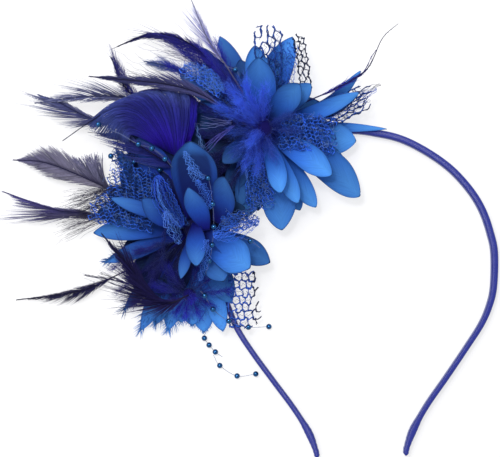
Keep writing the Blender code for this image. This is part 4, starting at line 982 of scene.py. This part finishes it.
def add_long_hairs(shape, feather, rng):
    """Loose hairs that stand off the vane on both sides."""
    route, ahead, left = feather_frame(feather)
    count = feather.hairs
    u = rng.uniform(feather.start * 0.9, 0.95, count)
    sign = rng.choice((-1, 1), count)[:, None]
    slope = np.radians(rng.uniform(*HAIR_SLOPES, count))[:, None, None]
    long = (rng.uniform(*HAIR_LENGTHS, count) * (1.05 - u))[:, None, None]
    s = shares(HAIR_STATIONS)
    curl = slope * (1 - 0.4 * s)
    fore, out = on_route(ahead, u)[:, None], (on_route(left, u) * sign)[:, None]
    lift = rng.normal(0.05, 0.15, (count, 1, 1))
    aim = fore * np.cos(curl) + out * np.sin(curl) + UP * lift * s
    paths = on_route(route, u)[:, None] + aim * s * long
    keep_above(paths, HAIR_LOWEST)
    thick = HAIR_RADIUS * (1 - 0.75 * s[..., 0])
    tone = blend(linear(feather.end), linear(feather.fringe), rng.random((count, 1)))
    strands(shape, paths, thick, thick, tone)


def add_fan(shape, fan, rng):
    """Long barbs that spread from one line to another, each on a smooth bend through a third line."""
    u = np.sort(rng.uniform(0, 1, fan.count))
    first, middle, last = (on_route(smooth_route(line, ROUTE_STEPS), u)[:, None]
                           for line in (fan.start, fan.middle, fan.end))
    middle = middle + rng.normal(0, fan.loose, middle.shape) * (1, 1, 0.5)
    last = last + rng.normal(0, fan.loose * 1.6, last.shape) * (1, 1, 0.4)
    pull = 2 * middle - (first + last) / 2
    s = shares(FAN_STATIONS)
    paths = (1 - s) ** 2 * first + 2 * s * (1 - s) * pull + s**2 * last
    s = s[..., 0]
    streak = 0.16 * np.sin(u * 47) + 0.12 * np.sin(u * 113 + 1) + rng.normal(0, 0.14, fan.count)
    tone = blend(linear(fan.root_colour), linear(fan.middle_colour), smooth_step(0, 0.5, s))
    tone = blend(tone, linear(fan.end_colour), smooth_step(0.5, 1.0, s)) * (1 + streak)[:, None, None]
    taper = fan.half * (1 - 0.7 * s**3)
    lean = rng.normal(0, 0.25, (fan.count, 1))
    strands(shape, paths, taper, taper * 0.25 + 0.02, np.maximum(tone, 0.002), lean=lean)


def make_feather(feather, looks, seed):
    rng = np.random.default_rng(seed)
    shape = Shape()
    add_shaft(shape, feather)
    if feather.name not in WHOLE_FANS:
        add_vane(shape, feather, 1, rng)
    add_vane(shape, feather, -1, rng)
    for fan in starmap(Fan, FANS.get(feather.name, ())):
        add_fan(shape, fan, rng)
    add_long_hairs(shape, feather, rng)
    slot = f"{feather.dye}_feather"
    piece(shape, f"plume_{feather.name}", [looks[slot]], [f"feather_{feather.name}"])


FLUFF_ARCH, FLUFF_SLOPES, FLUFF_RADIUS = 0.12, (8, 62), 0.06
BARBULE_HALF_WIDTH, BARBULE_LENGTHS = 0.028, (0.9, 2.6)


def add_plume(shape, plume, rng, colour, dark, barbules):
    """One fluffy plume: long soft barbs off a thin shaft, each with fine barbules all round."""
    root = np.array(plume.root)
    run = np.array(plume.tip) - root
    length = np.linalg.norm(run)
    ahead = run / length
    left = unit(np.cross(UP, ahead))
    over = np.cross(ahead, left)
    count = plume.barbs
    u = rng.uniform(0.02, 1, count) ** 0.8
    base = root + run * u[:, None] + over * (FLUFF_ARCH * length * np.sin(np.pi * u))[:, None]
    around = rng.uniform(0, 2 * np.pi, count)[:, None]
    slope = np.radians(rng.uniform(*FLUFF_SLOPES, count))[:, None, None]
    long = (plume.spread * rng.uniform(0.45, 1.15, count) * (1.05 - 0.3 * u))[:, None, None]
    out = (left * np.cos(around) + over * (0.7 * np.sin(around)))[:, None]
    s = shares(FLUFF_STATIONS)
    curl = slope * (1.2 - 0.7 * s)
    wave = rng.normal(0, 0.14, (count, 1, 3)) * np.sin(np.pi * s * rng.uniform(1, 2.2, (count, 1, 1)))
    paths = base[:, None] + (ahead * np.cos(curl) + out * np.sin(curl) + wave) * s * long
    paths[..., 2] = np.clip(paths[..., 2], FLUFF_LOWEST, cad_high[2] / MM + FLUFF_ABOVE)
    # Painted shade: the dark colour at the plume's root and the barbs' roots, giving way to the fluff's
    # colour outwards.
    unshaded_share = np.clip(smooth_step(0.0, 0.8, u)[:, None] * 0.6 + 0.5 * s[..., 0], 0, 1)
    # The plume's light scales it as painted light and shade.
    tone = blend(linear(dark), linear(colour), unshaded_share) * plume.light
    thick = FLUFF_RADIUS * (1 - 0.7 * s[..., 0])
    strands(shape, paths, thick, thick, tone)
    strand = np.repeat(np.arange(count), barbules)
    at = rng.uniform(0.05, 1.0, count * barbules) * (FLUFF_STATIONS - 1)
    low = np.minimum(at.astype(int), FLUFF_STATIONS - 2)
    step = paths[strand, low + 1] - paths[strand, low]
    start = paths[strand, low] + step * (at - low)[:, None]
    reach = rng.uniform(*BARBULE_LENGTHS, len(start))[:, None]
    end = start + (unit(step) * 0.9 + rng.normal(0, 0.42, start.shape)) * reach
    keep_above(end, LOWEST)
    colours = tone[strand, low] * rng.uniform(0.9, 1.2, (len(start), 1))
    hairs(shape, start, end, BARBULE_HALF_WIDTH, colours, rng)


def make_fluff(fluff, look, seed):
    rng = np.random.default_rng(seed)
    shape = Shape()
    if fluff.core:
        x, y, z, wide, tall = fluff.core
        levels = np.sin(np.linspace(-1, 1, CORE_RINGS) * np.pi / 2)
        radii = wide * np.sqrt(np.maximum(1 - levels**2, 0.02))
        # The core is coloured as painted shade at the tuft's middle.
        round_body(shape, x, y, z + tall * levels, radii, FLUFF_CORE_SHADE, CORE_SIDES)
    for plume in starmap(Plume, fluff.plumes):
        add_plume(shape, plume, rng, fluff.colour, fluff.dark, fluff.barbules)
    piece(shape, fluff.name, [look], fluff.nodes)


def net_surface(net, rng, layer):
    """Places on a net's sheet for u along it and v across it, rippled and crumpled."""
    route = smooth_route(net.line, ROUTE_STEPS)
    ahead = heading(route)
    phases = rng.uniform(0, 2 * np.pi, (3, 5))
    counts = rng.uniform(2.0, 9.0, (3, 5, 2))

    def place(u, v):
        u, v = np.broadcast_arrays(np.asarray(u, float), np.asarray(v, float))
        left = unit(level_left(on_route(ahead, u)))
        point = on_route(route, u) + left * (v * net.width / 2)[..., None]
        ripple = net.ripple * np.sin(2 * np.pi * net.turns * u) * np.cos(1.3 * np.pi * v)
        crumple = [sum(np.sin(counts[axis, k, 0] * 2 * np.pi * u + counts[axis, k, 1] * v + phases[axis, k])
                       for k in range(5)) * 0.35 * net.crumple for axis in range(3)]
        point = point + np.stack(crumple, -1) * (1.0, 1.0, 1.2)
        point[..., 2] += ripple + LAYER_RISE * layer + v * net.slope
        return point

    return place


HEXAGON = ((0, -2), (1, -1), (1, 1), (0, 2), (-1, 1), (-1, -1))
FILAMENT_RADIUS, CURL_RADIUS = 0.09, 0.07
CURL_TURNS, CURL_SIZES, CURL_DRIFT = (3, 9), (0.4, 1.0), 2.2
LAYER_RISE, LAYER_SHIFT = 0.5, 0.5  # how much higher the next layer is, and how far in cells it is moved
BAR_THICKNESS = (0.65, 1.15)  # of the cells' sides straight across the net and of the slanted ones
THREAD_POINTS, FILAMENT_POINTS = 4, 5  # on each side of a cell and in each cell


def still_joined(edges, whole):
    """Which of the whole edges still hang together from the net's root end."""
    held = whole & (edges[:, :, 0].min(1) <= 1)
    while True:
        knots = {tuple(knot) for knot in edges[held].reshape(-1, 2)}
        more = whole & np.array([tuple(first) in knots or tuple(last) in knots for first, last in edges])
        if (more == held).all():
            return held
        held = more


def add_net_layer(shape, net, layer, tone, cells, rings, rng):
    """Adds doubled threads round the cells and a zigzag filament in each whole cell. Gives the surface."""
    place = net_surface(net, rng, layer + 1 - len(net.tones))
    shift = LAYER_SHIFT * layer
    reach_u, reach_v = 2 * net.cells[0] + 1.5, 3 * net.cells[1] + 1.5
    edges = np.array(sorted(set(sum(rings, []))), float)
    far = (edges[:, :, 0] + shift).max(1) / reach_u
    edges = edges[still_joined(edges, rng.random(len(far)) > 0.5 * smooth_step(0.75, 1.0, far))]
    u = (edges[:, :, 0] + shift) / reach_u
    v = 2 * (edges[:, :, 1] + shift) / reach_v - 1
    bar = np.where(edges[:, 0, 0] == edges[:, 1, 0], *BAR_THICKNESS) * rng.uniform(0.8, 1.2, len(edges))
    thick = (net.thread * bar)[:, None]
    dark = smooth_step(0.25, 0.6, (2 * u.mean(1) - 1) * net.dark)
    s = np.linspace(0, 1, THREAD_POINTS)
    path = place(u[:, :1] + (u[:, 1:] - u[:, :1]) * s, v[:, :1] + (v[:, 1:] - v[:, :1]) * s)
    # This layer's tone: the lower layers are darkened as painted shade beneath the top one.
    colour = blend(linear(NET_COLOUR) * tone, linear(NET_DARK), dark)
    wave = 0.9 * net.thread * np.cos(np.pi * s)[None, :, None] * np.array((1, 1, 1.3))
    for strand in range(2):
        jitter = rng.normal(0, 0.05, (len(path), THREAD_POINTS, 3))
        vary = rng.uniform(0.6, 1.6, (len(path), 1))
        thread = path + wave * (1 - 2 * strand) + jitter
        strands(shape, thread, thick, thick * 0.8, (colour * vary)[:, None], seed=strand * 50)
    left = {tuple(map(tuple, edge)) for edge in edges}
    middles = np.array([cell for cell, ring in zip(cells, rings) if left.issuperset(ring)], float)
    s = np.linspace(-0.95, 0.95, FILAMENT_POINTS)
    side = np.where(np.arange(FILAMENT_POINTS) % 2, 1, -1)
    zigzag = 0.55 * side * rng.uniform(0.5, 1.2, (len(middles), FILAMENT_POINTS))
    u = (middles[:, :1] + shift + s * 0.95) / reach_u
    v = 2 * (middles[:, 1:] + shift + zigzag) / reach_v - 1
    colour = blend(linear(NET_COLOUR) * 0.6 * tone, linear(NET_DARK), 0.5)
    strands(shape, place(u, v), FILAMENT_RADIUS, FILAMENT_RADIUS, colour)
    return place


def add_curls(shape, net, place, rng):
    """Loose curls of filament that lie on a net."""
    count = net.curls
    share = np.linspace(0, 1, CURL_STATIONS)[None, :]
    u, v = rng.uniform(0.05, 0.95, count), rng.uniform(-0.9, 0.9, count)
    turn = share * rng.uniform(*CURL_TURNS, (count, 1)) + rng.uniform(0, 6, (count, 1))
    size = rng.uniform(*CURL_SIZES, (count, 1))
    drift = rng.uniform(-CURL_DRIFT, CURL_DRIFT, (count, 1, 2)) * share[..., None]
    path = np.repeat(place(u, v)[:, None], CURL_STATIONS, 1)
    path[..., 0] += size * np.cos(turn) + drift[..., 0]
    path[..., 1] += size * np.sin(turn) + drift[..., 1]
    path[..., 2] += 0.8 + 0.3 * np.sin(turn * 1.7)
    strands(shape, path, CURL_RADIUS, CURL_RADIUS, linear(NET_CURL) * (0.1 + 0.5 * net.tones[-1]))


def make_net(net, look, seed):
    """Six-sided cells of doubled threads, with a thin filament in each cell and loose curls on top."""
    rng = np.random.default_rng(seed)
    shape = Shape()
    along, across = net.cells
    cells = [(2 * i + 1 + j % 2, 3 * j + 2) for i in range(along) for j in range(across)]
    rings = [[(column + a, row + b) for a, b in HEXAGON] for column, row in cells]
    rings = [[tuple(sorted((ring[k], ring[k - 1]))) for k in range(6)] for ring in rings]
    for layer, tone in enumerate(net.tones):
        place = add_net_layer(shape, net, layer, tone, cells, rings, rng)
    if net.curls:
        add_curls(shape, net, place, rng)
    made = piece(shape, net.name, [look], [net.node] if net.node else ())


def make_beads(string, bead_look, thread_look):
    shape = Shape()
    levels = np.cos(np.linspace(np.pi, 0, BEAD_RINGS)) * BEAD_DIAMETER / 2
    radii = np.sqrt(np.maximum((BEAD_DIAMETER / 2) ** 2 - levels**2, 0.004))
    for index in string.beads:
        x, y, z = string.thread[index]
        round_body(shape, x, y, z + levels, radii, BEAD_COLOUR, BEAD_SIDES)
    route = smooth_route(string.thread, THREAD_STEPS * (len(string.thread) - 1))[None]
    strands(shape, route, THREAD_RADIUS, THREAD_RADIUS, linear(THREAD_COLOUR), sides=THREAD_SIDES, slot=1)
    name = string.name.replace("bead", "pearl")
    piece(shape, name, [bead_look, thread_look], [string.name])


def make_wisps(name, wisps, look, seed):
    rng = np.random.default_rng(seed)
    shape = Shape()
    for wisp in starmap(Wisp, wisps):
        steps = WISP_STEPS + WAVE_STEPS * wisp.waves
        route = smooth_route(wisp.route, steps)
        left = level_left(heading(route))
        s = np.linspace(0, 1, steps + 1)
        single = (wisp.count, 1)
        start = rng.uniform(0, 6, single)
        if wisp.waves:
            side = np.linspace(-1, 1, wisp.count)[:, None] + rng.normal(0, 0.08, single)
            pace = s * 2 * np.pi * wisp.waves * rng.uniform(0.7, 1.3, single)
            wave = wisp.wave * (0.6 * np.sin(pace + start) + 0.5 * np.sin(1.83 * pace + 2.3 * start))
            across = wisp.spread / 2 * side * (0.15 + 0.85 * np.sin(np.pi * s) ** 0.7) + wave
            paths = route + left * across[..., None]
            paths[..., 2] += 0.8 * (1 - side**2) + rng.normal(0, 0.2, single)
        else:
            spread = rng.normal(0, 1, (wisp.count, 1, 3)) * (1, 1, 0.4) * wisp.spread * 0.5
            wave = wisp.wave * np.sin(s * rng.uniform(8, 26, single) + start)
            paths = route + spread * (0.25 + 0.75 * s**1.3)[None, :, None] + left * wave[..., None]
        keep_above(paths, LOWEST)
        thick = wisp.thick * (1 - 0.5 * s)
        vary = rng.uniform(0.7, 1.3, (wisp.count, 1, 1))
        strands(shape, paths, thick, thick, linear(wisp.colour) * vary)
    piece(shape, name, [look])


FLOOR_SIZE, FLOOR_LEVEL = 3.0, -0.0001  # metres


def make_floor():
    """White paper on a light table, so that the shadows stay faint."""
    look, shader = new_material("pale_floor")
    set_inputs(shader, {"Base Color": (0.36, 0.36, 0.37, 1), "Roughness": 0.9,
                        "Emission Color": (1.0, 1.0, 1.0, 1), "Emission Strength": 0.65})
    bpy.ops.mesh.primitive_plane_add(size=FLOOR_SIZE, location=(0, 0, FLOOR_LEVEL))
    floor = bpy.context.object
    floor.name = "floor"
    floor.data.materials.append(look)


LAMPS = (  # name, place in metres, size, power
    ("key", (-0.35, 0.45, 0.85), 0.8, 5.8),
    ("gleam", (-0.12, 0.22, 0.75), 0.10, 1.5),
)
SKY_STRENGTH = 0.64


def make_studio():
    """Soft white light all round, a large key from the upper left and a small lamp for the beads' gleam."""
    world = bpy.data.worlds.new("studio")
    world.use_nodes = True
    set_inputs(world.node_tree.nodes["Background"], {"Color": (1, 1, 1, 1), "Strength": SKY_STRENGTH})
    bpy.context.scene.world = world
    for name, place, size, power in LAMPS:
        light = bpy.data.lights.new(name, "AREA")
        light.shape = "DISK"
        light.size = size
        light.energy = power
        made = bpy.data.objects.new(name, light)
        made.location = place
        made.rotation_mode = "QUATERNION"
        made.rotation_quaternion = made.location.to_track_quat("Z", "Y")
        bpy.context.scene.collection.objects.link(made)


# In metres: what the picture's width takes in, at the level where its scale holds, and the camera's height
VIEW_WIDTH, SCALE_LEVEL, VIEW_HEIGHT = 0.2245, 0.0025, 0.8025
SENSOR_WIDTH = 36.0


def make_camera():
    """Straight above, with the object as large in the picture as in the photo."""
    camera = bpy.data.cameras.new("camera")
    camera.sensor_width = SENSOR_WIDTH
    camera.lens = SENSOR_WIDTH * (VIEW_HEIGHT - SCALE_LEVEL) / VIEW_WIDTH
    camera.clip_start = 0.01
    camera.clip_end = 10.0
    made = bpy.data.objects.new("camera", camera)
    made.location = (ORIGIN[0] * MM, ORIGIN[1] * MM, VIEW_HEIGHT)
    bpy.context.scene.collection.objects.link(made)
    bpy.context.scene.camera = made
    bpy.context.scene.view_settings.view_transform = "Standard"


def main():
    make_floor()
    make_studio()
    make_camera()
    looks = {name: fibre_material(name, *row) for name, row in MATERIALS.items()}
    make_band(looks["satin"])
    make_felt(looks["felt"])
    layers = (
        ("a", "outer", FLOWER_A_OUTER), ("a", "middle", FLOWER_A_MIDDLE), ("a", "inner", FLOWER_A_INNER),
        ("b", "outer", FLOWER_B_OUTER), ("b", "middle", FLOWER_B_MIDDLE), ("b", "inner", FLOWER_B_INNER),
    )
    for index, (letter, word, rows) in enumerate(layers):
        centre, fill = (FLOWER_A, FLOWER_A_FILL) if letter == "a" else (FLOWER_B, FLOWER_B_FILL)
        petals = list(starmap(Petal, rows))
        if word == "outer":
            petals += [Petal(*row[:6], *FILL_FORM, *row[6:]) for row in fill]
        make_petals(f"petals_{letter}_{word}", f"flower_{letter}_{word}_petals", centre, petals, index % 3,
                    looks["petal_feather"], PETAL_SEED + index)
    for index, row in enumerate(starmap(Fluff, FLUFFS)):
        make_fluff(row, looks["marabou"], FLUFF_SEED + index)
    for index, row in enumerate(starmap(Feather, FEATHERS)):
        make_feather(row, looks, FEATHER_SEED + index)
    for index, row in enumerate(starmap(Net, NETS)):
        make_net(row, looks["net"], NET_SEED + index)
    for row in starmap(BeadString, BEAD_STRINGS):
        make_beads(row, looks["pearl"], looks["clear_thread"])
    make_wisps("net_threads", NET_WISPS, looks["net"], WISP_SEED)
    make_wisps("loose_barbs", BARB_WISPS, looks["dark_feather"], WISP_SEED + 1)


main()
